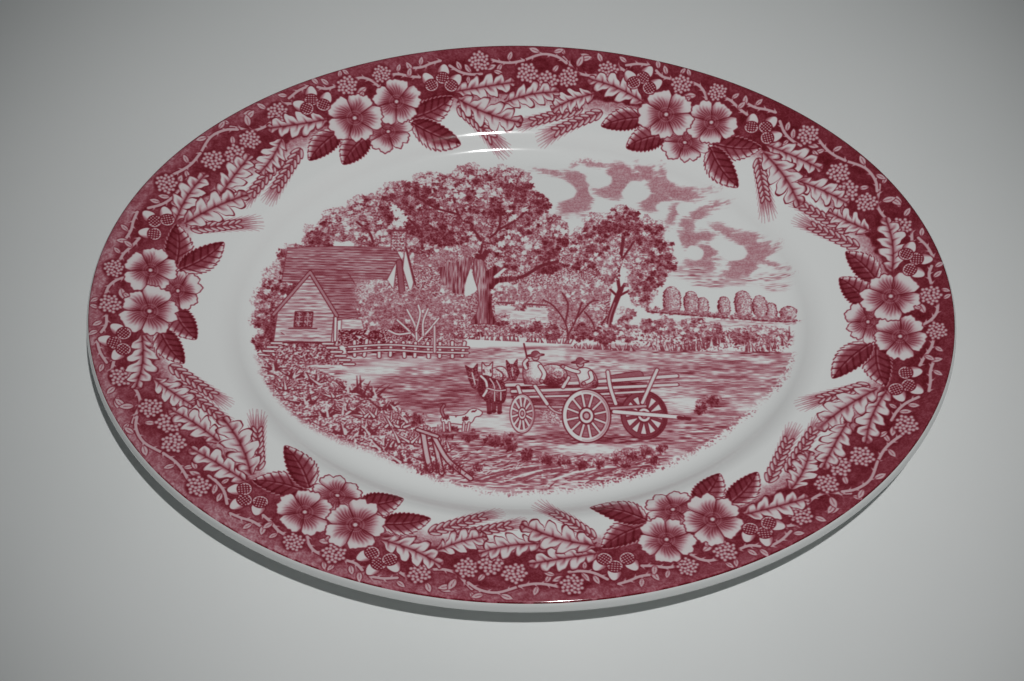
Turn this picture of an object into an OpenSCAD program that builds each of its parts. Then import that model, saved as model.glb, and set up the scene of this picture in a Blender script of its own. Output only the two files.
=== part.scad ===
// Oval serving platter of glazed earthenware, with a printed scene in the well
// and a printed border on the rim.
//
// The origin is on the table, under the middle of the platter. +X runs along the
// platter's length, +Y along its width and +Z up.
//
// The platter is drawn as a round dish of the full length and then narrowed to its
// real width, so every level of it is an ellipse of the same proportions. Distances
// called "reach" are measured from the middle along the length.

/* [Platter] */
// Overall length over the lip
platter_length = 310; // [270:5:400]
// Overall width over the lip
platter_width = 238; // [200:2:310]
// Height of the lip's top above the table
platter_height = 22; // [21:0.5:24]

/* [Well] */
// Height of the well floor above the table
floor_height = 7.2; // [6.6:0.2:8]
// Reach of the flat well floor
floor_reach = 91; // [86:1:94]
// Reach of the line where the hollow of the shoulder turns over
shoulder_reach = 103; // [101:0.5:105]
// Reach of the verge, where the rim begins
verge_reach = 111; // [110:0.5:114]

/* [Rim] */
// Slope of the rim at the ends of the platter, in degrees
rim_angle = 11; // [9:0.5:12]
// Thickness of the rim at the verge
rim_thickness = 5; // [4.4:0.2:5.6]
// Thickness of the rounded lip
lip_thickness = 6.6; // [5.8:0.2:7.2]
// How far the lip's round stands out from the rim
lip_depth = 2.6; // [2:0.2:3]

/* [Foot] */
// Reach of the foot ring's outer wall
foot_reach = 97; // [95:0.5:98]
// Width of the foot ring
foot_width = 3.6; // [3:0.2:4.4]
// Height of the recessed base inside the foot ring
base_height = 2; // [1.6:0.2:2.4]

/* [Glaze and print] */
// Thickness of the glaze, with the print that is fused in it
glaze_thickness = 0.4; // [0.3:0.05:0.5]

// Angle of the border section at each end, as if the platter were round
end_section_angle = 68; // [60:1:76]

/* [Hidden] */
// The border print is laid on in six sections of about equal length: one at each end
// of the platter, and two along each side that share the angle between them.
side_section_angle = (180 - end_section_angle) / 2;
section_angles = [
    side_section_angle, side_section_angle, end_section_angle,
    side_section_angle, side_section_angle, end_section_angle
];

half_length = platter_length / 2;
narrowing = platter_width / platter_length;

// Steps along a curve of the cross-section, along the lip, and around the platter.
curve_steps = 8;
lip_steps = 9;
round_steps = 180;

// The lip is a squared round: 2 would make it an ellipse, and more squares it up.
lip_squareness = 2.8;
// The print ends on the lip's upper corner, half way round to its outer face.
print_edge = 45;

// Share of the way from the floor to the verge at which the shoulder turns over.
shoulder_rise = 0.46;
foot_edge_height = 0.6;
foot_chamfer = 0.4;

china_white = [0.93, 0.94, 0.92];
crimson_print = [0.66, 0.25, 0.31];
pale_print = [0.83, 0.62, 0.63];
bare_clay = [0.86, 0.82, 0.74];

// ---- Cross-section, as points of [reach, height] ----

function unit(v) = v / norm(v);
function reversed(points) = [for (i = [len(points) - 1 : -1 : 0]) points[i]];
function last_of(points) = points[len(points) - 1];
function total(values, count) = count == 0 ? 0 : values[count - 1] + total(values, count - 1);

// Points of a cubic curve from p to s with handles q and r, leaving out p itself.
function curve(p, q, r, s, steps = curve_steps) = [
    for (i = [1 : steps])
        let (t = i / steps, u = 1 - t)
        u * u * u * p + 3 * u * u * t * q + 3 * u * t * t * r + t * t * t * s
];

// The same line of points, moved into the clay by the glaze's thickness. The line
// runs with the clay on its right, and first and last are its directions at its ends.
function under_the_glaze(points, first, last) = [
    for (i = [0 : len(points) - 1])
        let (
            before = i == 0 ? first : unit(points[i] - points[i - 1]),
            after = i == len(points) - 1 ? last : unit(points[i + 1] - points[i]),
            along = unit(before + after)
        )
        points[i] + glaze_thickness * [along.y, -along.x]
];

level = [1, 0];
down = [0, -1];
rim_slope = [cos(rim_angle), sin(rim_angle)];
rim_normal = [-rim_slope.y, rim_slope.x];

// A point of the lip's round from its middle: 90 is on the rim's upper face, 0 is
// outermost and -90 is on the underside.
function squared(v) = sign(v) * pow(abs(v), 2 / lip_squareness);
function lip_offset(angle) =
    lip_depth * squared(cos(angle)) * rim_slope
    + lip_thickness / 2 * squared(sin(angle)) * rim_normal;
function lip_direction(angle) = unit(lip_offset(angle - 1) - lip_offset(angle + 1));

whole_lip = [for (angle = [90 : -1 : -90]) lip_offset(angle)];
lip_middle = [
    half_length - max([for (offset = whole_lip) offset.x]),
    platter_height - max([for (offset = whole_lip) offset.y])
];
function lip(from, to, steps) = [
    for (i = [0 : steps]) lip_middle + lip_offset(from + (to - from) * i / steps)
];

// Where the parts of the upper face meet.
lip_start = lip_middle + lip_offset(90);
verge = lip_start - (lip_start.x - verge_reach) / rim_slope.x * rim_slope;
floor_edge = [floor_reach, floor_height];
shoulder = [shoulder_reach, floor_height + shoulder_rise * (verge.y - floor_height)];
shoulder_slope = unit([6, 4.2]);

// Upper face, from the middle of the well outwards.
well_line = concat(
    [[0, floor_height], floor_edge],
    curve(floor_edge, floor_edge + 5 * level, shoulder - 4 * shoulder_slope, shoulder)
);
rim_line = concat(
    [shoulder],
    curve(shoulder, shoulder + 4 * shoulder_slope, verge - 2 * rim_slope, verge),
    lip(90, print_edge, 4)
);
lip_line = lip(print_edge, -90, lip_steps);

// Underside, from the lip inwards to the bottom of the foot ring.
lip_end = last_of(lip_line);
under_verge = verge - rim_thickness * rim_normal;
under_slope = unit(lip_end - under_verge);
foot_top = [foot_reach + 2.2, base_height + 0.9];
foot_slope = unit([3, 1]);
foot_corner = [foot_reach, foot_edge_height];
underside_line = concat(
    [lip_end, under_verge],
    curve(under_verge, under_verge - 4 * under_slope, foot_top + 4 * foot_slope, foot_top),
    curve(foot_top, foot_top - 1.6 * foot_slope, foot_corner - 1.4 * down, foot_corner)
);

// Recessed base, from the foot ring's inner wall to the middle.
base_corner = [foot_reach - foot_width, foot_edge_height];
base_edge = [base_corner.x - 2.4, base_height];
base_line = concat(
    [base_corner],
    curve(base_corner, base_corner - 0.9 * down, base_edge + 1.4 * level, base_edge),
    [[0, base_height]]
);

// The clay's own faces, one glaze thickness under those lines.
print_edge_slope = lip_direction(print_edge);
well_clay = under_the_glaze(well_line, level, shoulder_slope);
rim_clay = under_the_glaze(rim_line, shoulder_slope, print_edge_slope);
lip_clay = under_the_glaze(lip_line, print_edge_slope, -under_slope);
underside_clay = under_the_glaze(underside_line, -under_slope, down);
base_clay = under_the_glaze(base_line, -down, -level);

// The foot stands on a flat ring of bare clay between two small chamfers.
standing_face = [
    [last_of(underside_clay).x - foot_chamfer, 0],
    [base_clay[0].x + foot_chamfer, 0]
];

// ---- Solids ----

// Turns a cross-section about the upright axis and narrows it to the platter's width.
module oval_sector(section, start, angle) {
    scale([1, narrowing, 1])
        rotate_extrude(start = start, angle = angle, $fn = round_steps)
            polygon(section);
}

// The whole way round, as four joined quarters.
module oval(section) {
    union()
        for (quarter = [0 : 3]) oval_sector(section, 90 * quarter, 90);
}

module clay_body() {
    color(bare_clay)
        oval(concat(well_clay, rim_clay, lip_clay, underside_clay, standing_face, base_clay));
}

module well_print() {
    color(pale_print) oval(concat(well_line, reversed(well_clay)));
}

// Section 1 begins where the right end's section, number 6, stops.
module border_print(number) {
    start = end_section_angle / 2 + total(section_angles, number - 1);
    color(crimson_print)
        oval_sector(concat(rim_line, reversed(rim_clay)), start, section_angles[number - 1]);
}

module lip_glaze() {
    color(china_white) oval(concat(lip_line, reversed(lip_clay)));
}

module underside_glaze() {
    color(china_white) oval(concat(underside_line, reversed(underside_clay)));
}

module base_glaze() {
    color(china_white) oval(concat(base_line, reversed(base_clay)));
}

clay_body();
underside_glaze();
base_glaze();
lip_glaze();
well_print();
border_print(1);  // border_print_1
border_print(2);  // border_print_2
border_print(3);  // border_print_3
border_print(4);  // border_print_4
border_print(5);  // border_print_5
border_print(6);  // border_print_6
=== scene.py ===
"""Oval serving platter of glazed earthenware, with a crimson printed border and a country scene.

The platter is turned from one cross-section and narrowed to an oval. Its print is drawn as
ink on a flat plate, stroke by stroke, and each printed piece carries that ink in its mesh,
where the glaze's material turns it into colour. Lengths are in millimetres until a mesh is
made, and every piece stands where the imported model's own part stands.
"""

import math

import bpy
import numpy as np
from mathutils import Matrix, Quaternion, Vector


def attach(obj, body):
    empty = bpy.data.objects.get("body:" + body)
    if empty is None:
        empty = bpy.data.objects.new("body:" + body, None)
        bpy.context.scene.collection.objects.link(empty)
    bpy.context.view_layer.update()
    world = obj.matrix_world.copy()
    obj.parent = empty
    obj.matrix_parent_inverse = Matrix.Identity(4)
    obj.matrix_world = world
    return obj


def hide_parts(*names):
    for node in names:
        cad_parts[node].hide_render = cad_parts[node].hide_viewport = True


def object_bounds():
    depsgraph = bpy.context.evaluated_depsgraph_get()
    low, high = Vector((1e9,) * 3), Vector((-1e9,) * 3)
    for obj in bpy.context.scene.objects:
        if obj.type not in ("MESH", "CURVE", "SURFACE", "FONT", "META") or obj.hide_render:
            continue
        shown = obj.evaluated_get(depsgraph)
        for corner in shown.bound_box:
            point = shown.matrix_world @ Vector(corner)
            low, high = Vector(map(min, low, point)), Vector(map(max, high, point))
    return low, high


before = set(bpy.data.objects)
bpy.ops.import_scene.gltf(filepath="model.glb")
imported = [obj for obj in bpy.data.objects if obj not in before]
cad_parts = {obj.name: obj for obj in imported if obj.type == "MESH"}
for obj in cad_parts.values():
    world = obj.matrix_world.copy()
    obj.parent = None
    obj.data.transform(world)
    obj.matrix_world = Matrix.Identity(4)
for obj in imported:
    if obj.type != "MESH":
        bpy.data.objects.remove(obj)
cad_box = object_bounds()

MM = 0.001
TURN = 2 * math.pi
GOLDEN_ANGLE = math.pi * (3 - math.sqrt(5))
BODY = "root"


# ---- The printing plate -------------------------------------------------------------
# The print is drawn once, in millimetres in plan, as ink from 0 (bare white) to about
# 1.2 (darkest crimson), and each printed piece reads its ink from there.

PLATE_STEP = 0.125
GRAIN_SEED = 7
# A distance that is farther than anything on the plate.
FAR = 1e9


class Plate:
    """Ink on a square grid over the platter's plan, with the drawing strokes."""

    def __init__(self, half_length, half_width):
        self.x = np.arange(-half_length, half_length, PLATE_STEP)
        self.y = np.arange(-half_width, half_width, PLATE_STEP)
        self.ink = np.zeros((len(self.y), len(self.x)), np.float32)
        self.random = np.random.default_rng(GRAIN_SEED)
        # Noise that breaks tones into marks: round blobs, level strokes and upright ones.
        self.fine = spread_evenly(self.grain(0.28, 0.6))
        self.leaf = spread_evenly(self.grain(0.45, 1.0))
        self.ripple = 0.7 * spread_evenly(self.noise(2.1, 0.25)) + 0.3 * spread_evenly(self.noise(7, 0.7))
        self.bark = spread_evenly(self.noise(0.34, 2.6))
        # Slower noise, for uneven tones and ragged edges.
        self.swell = self.noise(9, 1.6)
        self.broad = self.noise(13, 8)
        self.cloud = self.noise(2.4, 2.4) * 0.65 + self.noise(0.9, 0.9) * 0.35

    def noise(self, scale_x, scale_y):
        """Smooth noise from 0 to 1 over the whole plate, with blobs of this size."""
        rows = int(np.ptp(self.y) / scale_y) + 3
        columns = int(np.ptp(self.x) / scale_x) + 3
        knots = self.random.random((rows, columns)).astype(np.float32)
        fx = (self.x[None, :] - self.x[0]) / scale_x
        fy = (self.y[:, None] - self.y[0]) / scale_y
        ix, iy = fx.astype(int), fy.astype(int)
        return blend(knots, ix, iy, ease(fx - ix), ease(fy - iy)).astype(np.float32)

    def grain(self, scale, turn):
        """Smooth noise with blobs of one size, on rows turned by this angle."""
        c, s = math.cos(turn), math.sin(turn)
        X, Y = self.x[None, :].astype(np.float32), self.y[:, None].astype(np.float32)
        fx, fy = (X * c + Y * s) / scale, (Y * c - X * s) / scale
        fx, fy = fx - fx.min(), fy - fy.min()
        ix, iy = fx.astype(int), fy.astype(int)
        knots = self.random.random((iy.max() + 2, ix.max() + 2)).astype(np.float32)
        return blend(knots, ix, iy, ease(fx - ix), ease(fy - iy))

    def broad_at(self, x, y):
        """The broad noise at points in plan."""
        rows = np.clip((y - self.y[0]) / PLATE_STEP, 0, len(self.y) - 1).astype(int)
        columns = np.clip((x - self.x[0]) / PLATE_STEP, 0, len(self.x) - 1).astype(int)
        return self.broad[rows, columns]

    def window(self, x0, x1, y0, y1):
        """The rows and columns of the grid between these limits."""
        rows = slice(max(0, np.searchsorted(self.y, y0)), np.searchsorted(self.y, y1))
        columns = slice(max(0, np.searchsorted(self.x, x0)), np.searchsorted(self.x, x1))
        return rows, columns

    def local(self, x, y, angle, reach):
        """The grid near a point, as coordinates along and across a direction."""
        at = self.window(x - reach, x + reach, y - reach, y + reach)
        dx, dy = self.x[at[1]][None, :] - x, self.y[at[0]][:, None] - y
        c, s = math.cos(angle), math.sin(angle)
        return at, dx * c + dy * s, dy * c - dx * s

    def around(self, points, margin):
        """The grid round these points: its window, and the x and y of each grid point."""
        low, high = points.min(0) - margin, points.max(0) + margin
        at = self.window(low[0], high[0], low[1], high[1])
        X, Y = np.meshgrid(self.x[at[1]], self.y[at[0]])
        return at, X, Y

    def lay(self, at, cover, tone):
        """Paints a tone over what is there, where cover is 1."""
        self.ink[at] += cover * (tone - self.ink[at])

    def outlined(self, at, edge, width, outline, tone):
        """Lays a shape, from the distance inside its edge, with a line round it."""
        self.lay(at, inside(edge + width), outline)
        self.lay(at, inside(edge), tone)

    def blur(self):
        """Softens the ink over one step each way, as it spreads when the glaze melts."""
        for axis in (0, 1):
            self.ink = (2 * self.ink + np.roll(self.ink, 1, axis) + np.roll(self.ink, -1, axis)) / 4

    def read(self, points):
        """The ink at points in plan, blended between the steps of the grid."""
        fx = (points[:, 0] - self.x[0]) / PLATE_STEP
        fy = (points[:, 1] - self.y[0]) / PLATE_STEP
        on = (fx > 0) & (fy > 0) & (fx < len(self.x) - 2) & (fy < len(self.y) - 2)
        fx, fy = np.where(on, fx, 0), np.where(on, fy, 0)
        ix, iy = fx.astype(int), fy.astype(int)
        return np.where(on, blend(self.ink, ix, iy, fx - ix, fy - iy), 0)

    def stroke(self, x, y, angle, length, width, tone, taper=0.6):
        """One engraved stroke from a point, thinning towards its end."""
        at, u, v = self.local(x + math.cos(angle) * length / 2, y + math.sin(angle) * length / 2,
                              angle, length / 2 + width)
        along = np.clip(u / length + 0.5, 0, 1)
        gap = np.hypot(u - (along - 0.5) * length, v)
        self.lay(at, inside(width / 2 * (1 - taper * along) - gap), tone)

    def line(self, points, width, tone, edge_tone=None, edge=0.3):
        """A line through points, with darker edges when edge_tone is given."""
        points = np.asarray(points, float)
        at, X, Y = self.around(points, width)
        gap = np.full(X.shape, FAR)
        for p, q in zip(points[:-1], points[1:]):
            gap = np.minimum(gap, segment_gap(X, Y, p, q))
        if edge_tone is not None:
            self.lay(at, inside(width / 2 + edge - gap), edge_tone)
        self.lay(at, inside(width / 2 - gap), tone)

    def area(self, points):
        """How far inside a polygon each grid point near it lies (negative outside)."""
        points = np.asarray(points, float)
        at, X, Y = self.around(points, 2)
        gap = np.full(X.shape, FAR)
        odd = np.zeros(X.shape, bool)
        for p, q in zip(points, np.roll(points, -1, 0)):
            gap = np.minimum(gap, segment_gap(X, Y, p, q))
            if p[1] != q[1]:
                crosses = (p[1] > Y) != (q[1] > Y)
                odd ^= crosses & (X < p[0] + (Y - p[1]) * (q[0] - p[0]) / (q[1] - p[1]))
        return at, X, Y, np.where(odd, gap, -gap)


def blend(grid, column, row, part_x, part_y):
    """Values between the points of a grid, from the four points round each place."""
    low = grid[row, column] * (1 - part_x) + grid[row, column + 1] * part_x
    high = grid[row + 1, column] * (1 - part_x) + grid[row + 1, column + 1] * part_x
    return low * (1 - part_y) + high * part_y


def spread_evenly(field):
    """Noise spread evenly from 0 to 1, so that a tone covers its own share of it."""
    return ease((field - 0.5) * 0.8 + 0.5) * 1.25 - 0.125


def segment_gap(u, v, start, end):
    """Distance of the points (u, v) from a straight segment."""
    du, dv = end[0] - start[0], end[1] - start[1]
    t = np.clip(((u - start[0]) * du + (v - start[1]) * dv) / max(du * du + dv * dv, 1e-9), 0, 1)
    return np.hypot(u - start[0] - t * du, v - start[1] - t * dv)


def ease(t):
    """0 below 0, 1 above 1, and smooth between them."""
    t = np.clip(t, 0, 1)
    return t * t * (3 - 2 * t)


def bell(value):
    """1 where the value is 0, and smoothly down to nothing on both sides."""
    return np.exp(-value ** 2)


def inside(distance, soft=0.15):
    """Cover from a distance inside an edge, blended over about one step of the plate."""
    return np.clip(distance / soft + 0.5, 0, 1)


def fade(value, start, end):
    """1 before start, 0 past end, and smooth between them."""
    return 1 - ease((value - start) / (end - start))


# ---- Motifs of the border -----------------------------------------------------------

OUTLINE = 0.9
PETALS = 5
LOBES = 4.2
DRUPELETS = 27
GRAIN_PAIRS = 8
# Each grain's awns, as (how far they lean out, share of the full length).
AWNS = [(-0.07, 1.0), (0.06, 1.0), (0.17, 0.95), (0.30, 0.8)]


def leaf_only(edge, u, length):
    """The same distance inside an edge, but outside all round past the leaf's two ends."""
    return np.where((u < 0) | (u > length), -1, edge)


def blossom(plate, x, y, angle, radius, squash):
    """A five-petalled bramble flower, seen from above or, with squash below 1, aslant."""
    at, u, v = plate.local(x, y, angle, radius * 1.12)
    u = u / squash
    r = np.hypot(u, v) / radius
    turn = np.arctan2(v, u) / TURN * PETALS
    petal = np.floor(turn)
    across = turn - petal - 0.5
    size = 0.96 + 0.06 * np.sin(petal * 2.3 + x)
    outline = size * (1 - 0.24 * np.abs(2 * across) ** 4.6 - 0.08 * bell((across + 0.06) / 0.07))
    outline += 0.028 * np.sin(across * 19 + petal * 2) + 0.015 * np.sin(across * 43 + petal)
    rim = (outline - r) * radius
    crease = (0.5 - np.abs(across)) * TURN / PETALS * r * radius
    rays = turn * 7 + 0.35 * np.sin(r * 9 + petal)
    ray = np.floor(rays)
    length = 0.66 + 0.28 * np.abs(np.sin(ray * 12.9 + x)) - 0.12 * np.abs(2 * across)
    streak = (1 - np.abs(2 * (rays - ray) - 1)) ** 0.8 * fade(r, length - 0.42, length)
    tone = 0.05 + 0.62 * streak + 0.20 * fade(r, 0.35, 0.8) + 0.30 * bell(r / 0.26)
    tone += 0.34 * ease((0.38 - rim) / 0.38) + 0.22 * fade(crease, 0.2, 1.9) * (across > 0)
    tone += 0.85 * inside(0.15 - crease) * (r < outline)
    dots = np.cos(rays * math.pi) ** 2 * (bell((r - 0.26) / 0.03) + bell((r - 0.17) / 0.03))
    tone = tone * (1 - 0.9 * np.clip(dots, 0, 1))
    tone = np.where(r < 0.07, 0.1, np.where(r < 0.10, 0.7, tone))
    plate.outlined(at, rim, 0.3, OUTLINE, np.clip(tone, 0, 1.05))


def toothed_leaf(plate, x, y, angle, length, width):
    """A bramble leaf from its base: dark, with darker veins and a pale edge on one side."""
    at, u, v = plate.local(x, y, angle, length * 1.08)
    t = np.clip(u / length, 0, 1)
    v = v + 0.06 * length * np.sin(math.pi * t)
    teeth = (t * 12 + np.abs(v) / width * 1.5) % 1
    half = width / 2 * np.sin(math.pi * t ** 0.78) ** 0.75
    edge = leaf_only((half * (0.90 + 0.15 * teeth) - np.abs(v)) * 0.85, u, length)
    vein = (t * 6 - np.abs(v) / width * 2.6) % 1
    tone = 0.60 + 0.40 * bell((vein - 0.5) / 0.13) + 0.30 * (plate.cloud[at] - 0.5)
    tone += 0.22 * (v > 0) + 0.25 * fade(edge, 0.3, 1.2)
    tone -= 0.42 * bell((v - 0.55) / 0.28) * fade(t, 0.5, 0.95)
    tone = np.where(np.abs(v) < 0.16 + 0.12 * (1 - t), 1.1, tone)
    pale = fade(edge, 1.1 + 0.6 * teeth, 1.7 + 0.6 * teeth) * (v < 0) * (t > 0.05)
    tone += pale * (0.06 + 0.85 * bell((vein - 0.5) / 0.08) + 0.3 * ease(edge - 0.6) - tone)
    plate.lay(at, inside(edge + 0.36), 0.06)
    plate.lay(at, inside(edge + 0.12), OUTLINE + 0.05)
    plate.lay(at, inside(edge - 0.10), tone)


def oak_leaf(plate, x, y, angle, length, width):
    """A white oak leaf from its stalk: round lobes leaning forward, with shaded veins."""
    at, u, v = plate.local(x, y, angle, length * 1.12)
    v = v + 0.06 * length * math.sin(x + 2 * y) * np.sin(math.pi * np.clip(u / length, 0, 1))
    lean = np.abs(v) * 0.55 + 0.35 * np.sin(u * 1.9 + x)
    phase = (u - lean) / length * (LOBES + 0.4) + 0.25 * (v > 0)
    t = np.clip((u - 0.6 * lean) / length, 0, 1)
    lobe = np.abs(np.sin(math.pi * phase)) ** 0.6
    half = width / 2 * np.sin(math.pi * np.clip(t, 0.02, 1) ** 0.85) ** 0.6 * (0.10 + 0.98 * lobe)
    edge = leaf_only((half - np.abs(v)) * 0.62, u, length)
    vein = np.abs(np.cos(math.pi * phase)) ** 1.2
    middle = np.abs(v) / width
    tone = 0.05 + 0.34 * bell(middle / 0.10)
    tone += 0.44 * bell(vein / 0.22) * fade(middle, 0.06, 0.36)
    tone += 0.45 * bell(middle / 0.028) + 0.28 * fade(edge, 0, 0.5) * (v > 0)
    plate.outlined(at, edge, 0.3, OUTLINE + 0.1, np.clip(tone, 0, 1))


def acorn(plate, x, y, angle, size):
    """An acorn from the middle of its cup: a pointed white nut and a netted cup."""
    at, u, v = plate.local(x, y, angle, size * 1.3)
    along = u - size * 0.50
    nut = size * 0.40 - np.hypot(along / 1.30, v * (1 + 0.6 * np.clip(along / size, 0, 1)))
    nut_tone = 0.05 + 0.4 * fade(u, size * 0.22, size * 0.42) + 0.4 * ease((v / size - 0.12) / 0.25)
    plate.outlined(at, nut, 0.28, OUTLINE + 0.1, nut_tone)
    cup = size * 0.45 - np.hypot(u / 0.92, v)
    net = np.cos((u + v) * 3.4) * np.cos((u - v) * 3.4)
    cup_tone = np.where((cup < 0.42) & (u < 0.1 * size), 0.06, 1.0 - 0.95 * ease(net * 2.2))
    plate.outlined(at, cup, 0.28, OUTLINE + 0.15, cup_tone)


def berry(plate, x, y, radius):
    """A blackberry: pale round drupelets packed on a dark ground."""
    at, u, v = plate.local(x, y, x * 1.7, radius * 1.25)
    plate.lay(at, inside(radius * 1.04 - np.hypot(u, v), 1.0), 0.98)
    nearest = np.full(u.shape, FAR)
    for k in range(DRUPELETS):
        spread = radius * 0.90 * math.sqrt((k + 0.5) / DRUPELETS)
        turn = k * GOLDEN_ANGLE
        gap = np.hypot(u - spread * math.cos(turn), v - spread * math.sin(turn))
        nearest = np.minimum(nearest, gap)
    seed = radius * 0.168
    plate.lay(at, inside(seed - nearest, 0.2), 0.10 + 0.5 * (nearest / seed) ** 3)


def sprig(plate, x, y, angle, length):
    """One small pale leaf of the bramble."""
    at, u, v = plate.local(x, y, angle, length * 1.1)
    t = np.clip(u / length, 0, 1)
    edge = leaf_only(0.24 * length * np.sin(math.pi * t ** 0.9) ** 0.8 - np.abs(v), u, length)
    plate.outlined(at, edge, 0.25, 1.0, 0.14 + 0.55 * (np.abs(v) < 0.1) * (t < 0.7))


def wheat(plate, x, y, angle, length, awns):
    """An ear of wheat from its stalk: pale paired grains among long fine awns."""
    c, s = math.cos(angle), math.sin(angle)
    at, u, v = plate.local(x + c * length * 0.75, y + s * length * 0.75, angle, length)
    haze = np.maximum(0, 1 - np.hypot(u / (length * 0.62), v / (2.4 + 0.12 * u)))
    plate.lay(at, 0.75 * ease(haze * 1.6), 0.26 + 0.2 * (plate.fine[at] - 0.5))
    for k in range(GRAIN_PAIRS):
        along = length * (k + 0.6) / GRAIN_PAIRS
        for side in (-1, 1):
            for spread, reach in AWNS:
                gx = x + c * along - s * side * (0.9 + spread)
                gy = y + s * along + c * side * (0.9 + spread)
                awn = awns * reach * (0.75 + 0.05 * k)
                plate.stroke(gx, gy, angle + side * spread, awn, 0.27, 0.48, 0.7)
    for k in range(GRAIN_PAIRS):
        along = length * (k + 0.6) / GRAIN_PAIRS
        slim = 1.35 - 0.4 * k / GRAIN_PAIRS
        for side in (-1, 1):
            gx = x + c * along - s * side * 0.85 * slim
            gy = y + s * along + c * side * 0.85 * slim
            at, u, v = plate.local(gx, gy, angle + side * 0.5, 2.2)
            grain = 0.56 * slim - np.hypot(u / 2.5, v)
            plate.outlined(at, grain, 0.2, 0.9, 0.10 + 0.5 * fade(v * side, -0.5, 0.1))


def bramble(plate, points):
    """A thorny pale stem along points, with dark edges."""
    plate.line(points, 1.15, 0.16, edge_tone=1.0, edge=0.3)
    for k, (p, q) in enumerate(zip(points[:-1:2], points[1::2])):
        heading = math.atan2(q[1] - p[1], q[0] - p[0])
        side = 1 if k % 2 else -1
        plate.stroke(p[0], p[1], heading + side * 0.9, 1.9, 0.95, 0.16, 0.9)


# ---- The border, one repeat six times round the rim ---------------------------------
# Places are (s, d): millimetres along the rim from the middle of the repeat, and in
# from the lip. Directions are in degrees from +s, turning towards the well.

REPEATS = 6
# The line that places are measured along runs this far in from the lip.
MID_RIM = 20
ACORN_SIZE = 5.7

# Leaves, ears and sprigs are (s, d, direction, sizes), blossoms (s, d, radius, squash),
# acorns (s, d, direction) and berries (s, d, radius).
OAK_LEAVES = [
    (-35.5, 19.3, 183, 23.5, 9.8), (-36, 22.5, 152, 26.5, 11.5), (15.5, 19.3, -11, 23, 10.2),
    (34.5, 19.5, 30, 17.5, 9.2), (69, 25, 190, 21.5, 9.6),
]
WHEAT_EARS = [(-36, 26, 131, 17.5, 8.5), (30.5, 26.5, 33, 19.5, 7.5), (38.5, 26, 23, 20, 6.5)]
TOOTHED_LEAVES = [
    (-16.5, 27.8, 197, 18.5, 10), (-16, 29.5, 146, 20, 10), (3, 30, 35, 15.5, 10.5), (13, 25.3, 26, 17, 9.6),
]
BLOSSOMS = [(-5.8, 31, 9.6, 0.86), (-12.3, 19.8, 9.9, 1.0), (5.2, 22.2, 10.8, 1.0)]
ACORNS = [
    (-31.3, 13.2, 255), (-34, 16.7, 224), (-26.8, 15.6, 291), (17.6, 9.7, 247), (14.4, 13.3, 226),
    (20.4, 12.4, 312),
]
BERRIES = [
    (-45.4, 7.6, 4.4), (-9.6, 7.4, 3.9), (3.4, 8.6, 4.3), (30.6, 9.2, 4.3),
    (44.8, 13.8, 4.3), (52.7, 16, 4.7), (60.2, 12.8, 4.5),
]
STEMS = [
    [(-61.6, 7.6), (-57, 8.6), (-53, 8.2), (-49.5, 7)],
    [(-46, 12.8), (-42, 12.8), (-38, 11.4), (-34.5, 8.4)],
    [(-31.5, 6), (-28, 6.6), (-24.5, 7.6), (-21, 7.4)],
    [(-23, 11.6), (-19.5, 10.6), (-16, 9), (-12.8, 8.4)],
    [(-7.6, 12.8), (-6, 9.8), (-3.2, 7.4), (0, 6.6)], [(7.4, 7.6), (11, 7.4), (13.6, 5.6)],
    [(16.6, 4), (20.5, 4.4), (24.5, 5.8)], [(23.8, 8.6), (27, 7), (30, 5.6)],
    [(33.6, 11.4), (38, 12.2), (42, 11.2), (45, 8.2), (47.4, 5.6)],
    [(46, 8), (49.5, 5.6), (55, 4.8), (61.6, 7.6)],
]
SPRIGS = [
    (-56, 7.6, 250, 4), (-53.5, 9, 60, 3.8), (-47.5, 11, 200, 4.5), (-50.5, 11.8, 160, 3.8),
    (-42, 12, 300, 4.2), (-41, 13.4, 80, 3.2), (-38.5, 10.6, 290, 4), (-24, 6.8, 250, 3.8),
    (-20.6, 8.4, 290, 4.2), (-19, 10.8, 250, 4), (-15.4, 7.8, 240, 3.5), (-3, 11.4, 20, 5),
    (-1.4, 12.6, 50, 4), (1.6, 4.6, 300, 3.5), (5, 4.8, 250, 3.5), (9.6, 6.2, 300, 4), (13, 4.6, 290, 4),
    (24.6, 4.6, 330, 3.8), (33.4, 6, 300, 4.2), (37, 5.4, 340, 5), (41, 6, 200, 4.5), (42, 9, 250, 5),
    (47, 4.4, 300, 3.5), (51, 3.8, 200, 4.2), (56, 4, 340, 4.5), (49, 9, 60, 4),
]


class Rim:
    """Finds places on the rim by the distance along it and in from the lip."""

    def __init__(self, half_length, half_width):
        self.a, self.b = half_length - MID_RIM, half_width - MID_RIM
        self.turn = np.linspace(0, TURN, 4001)
        x, y = self.a * np.cos(self.turn), self.b * np.sin(self.turn)
        self.run = np.concatenate([[0], np.cumsum(np.hypot(np.diff(x), np.diff(y)))])
        self.length = self.run[-1]

    def place(self, s, d):
        """The plan position, and the direction of +s there."""
        turn = np.interp(s % self.length, self.run, self.turn)
        nx, ny = math.cos(turn) / self.a, math.sin(turn) / self.b
        n = math.hypot(nx, ny)
        out = MID_RIM - d
        x = self.a * math.cos(turn) + nx / n * out
        y = self.b * math.sin(turn) + ny / n * out
        return x, y, math.atan2(nx, -ny)


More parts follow.
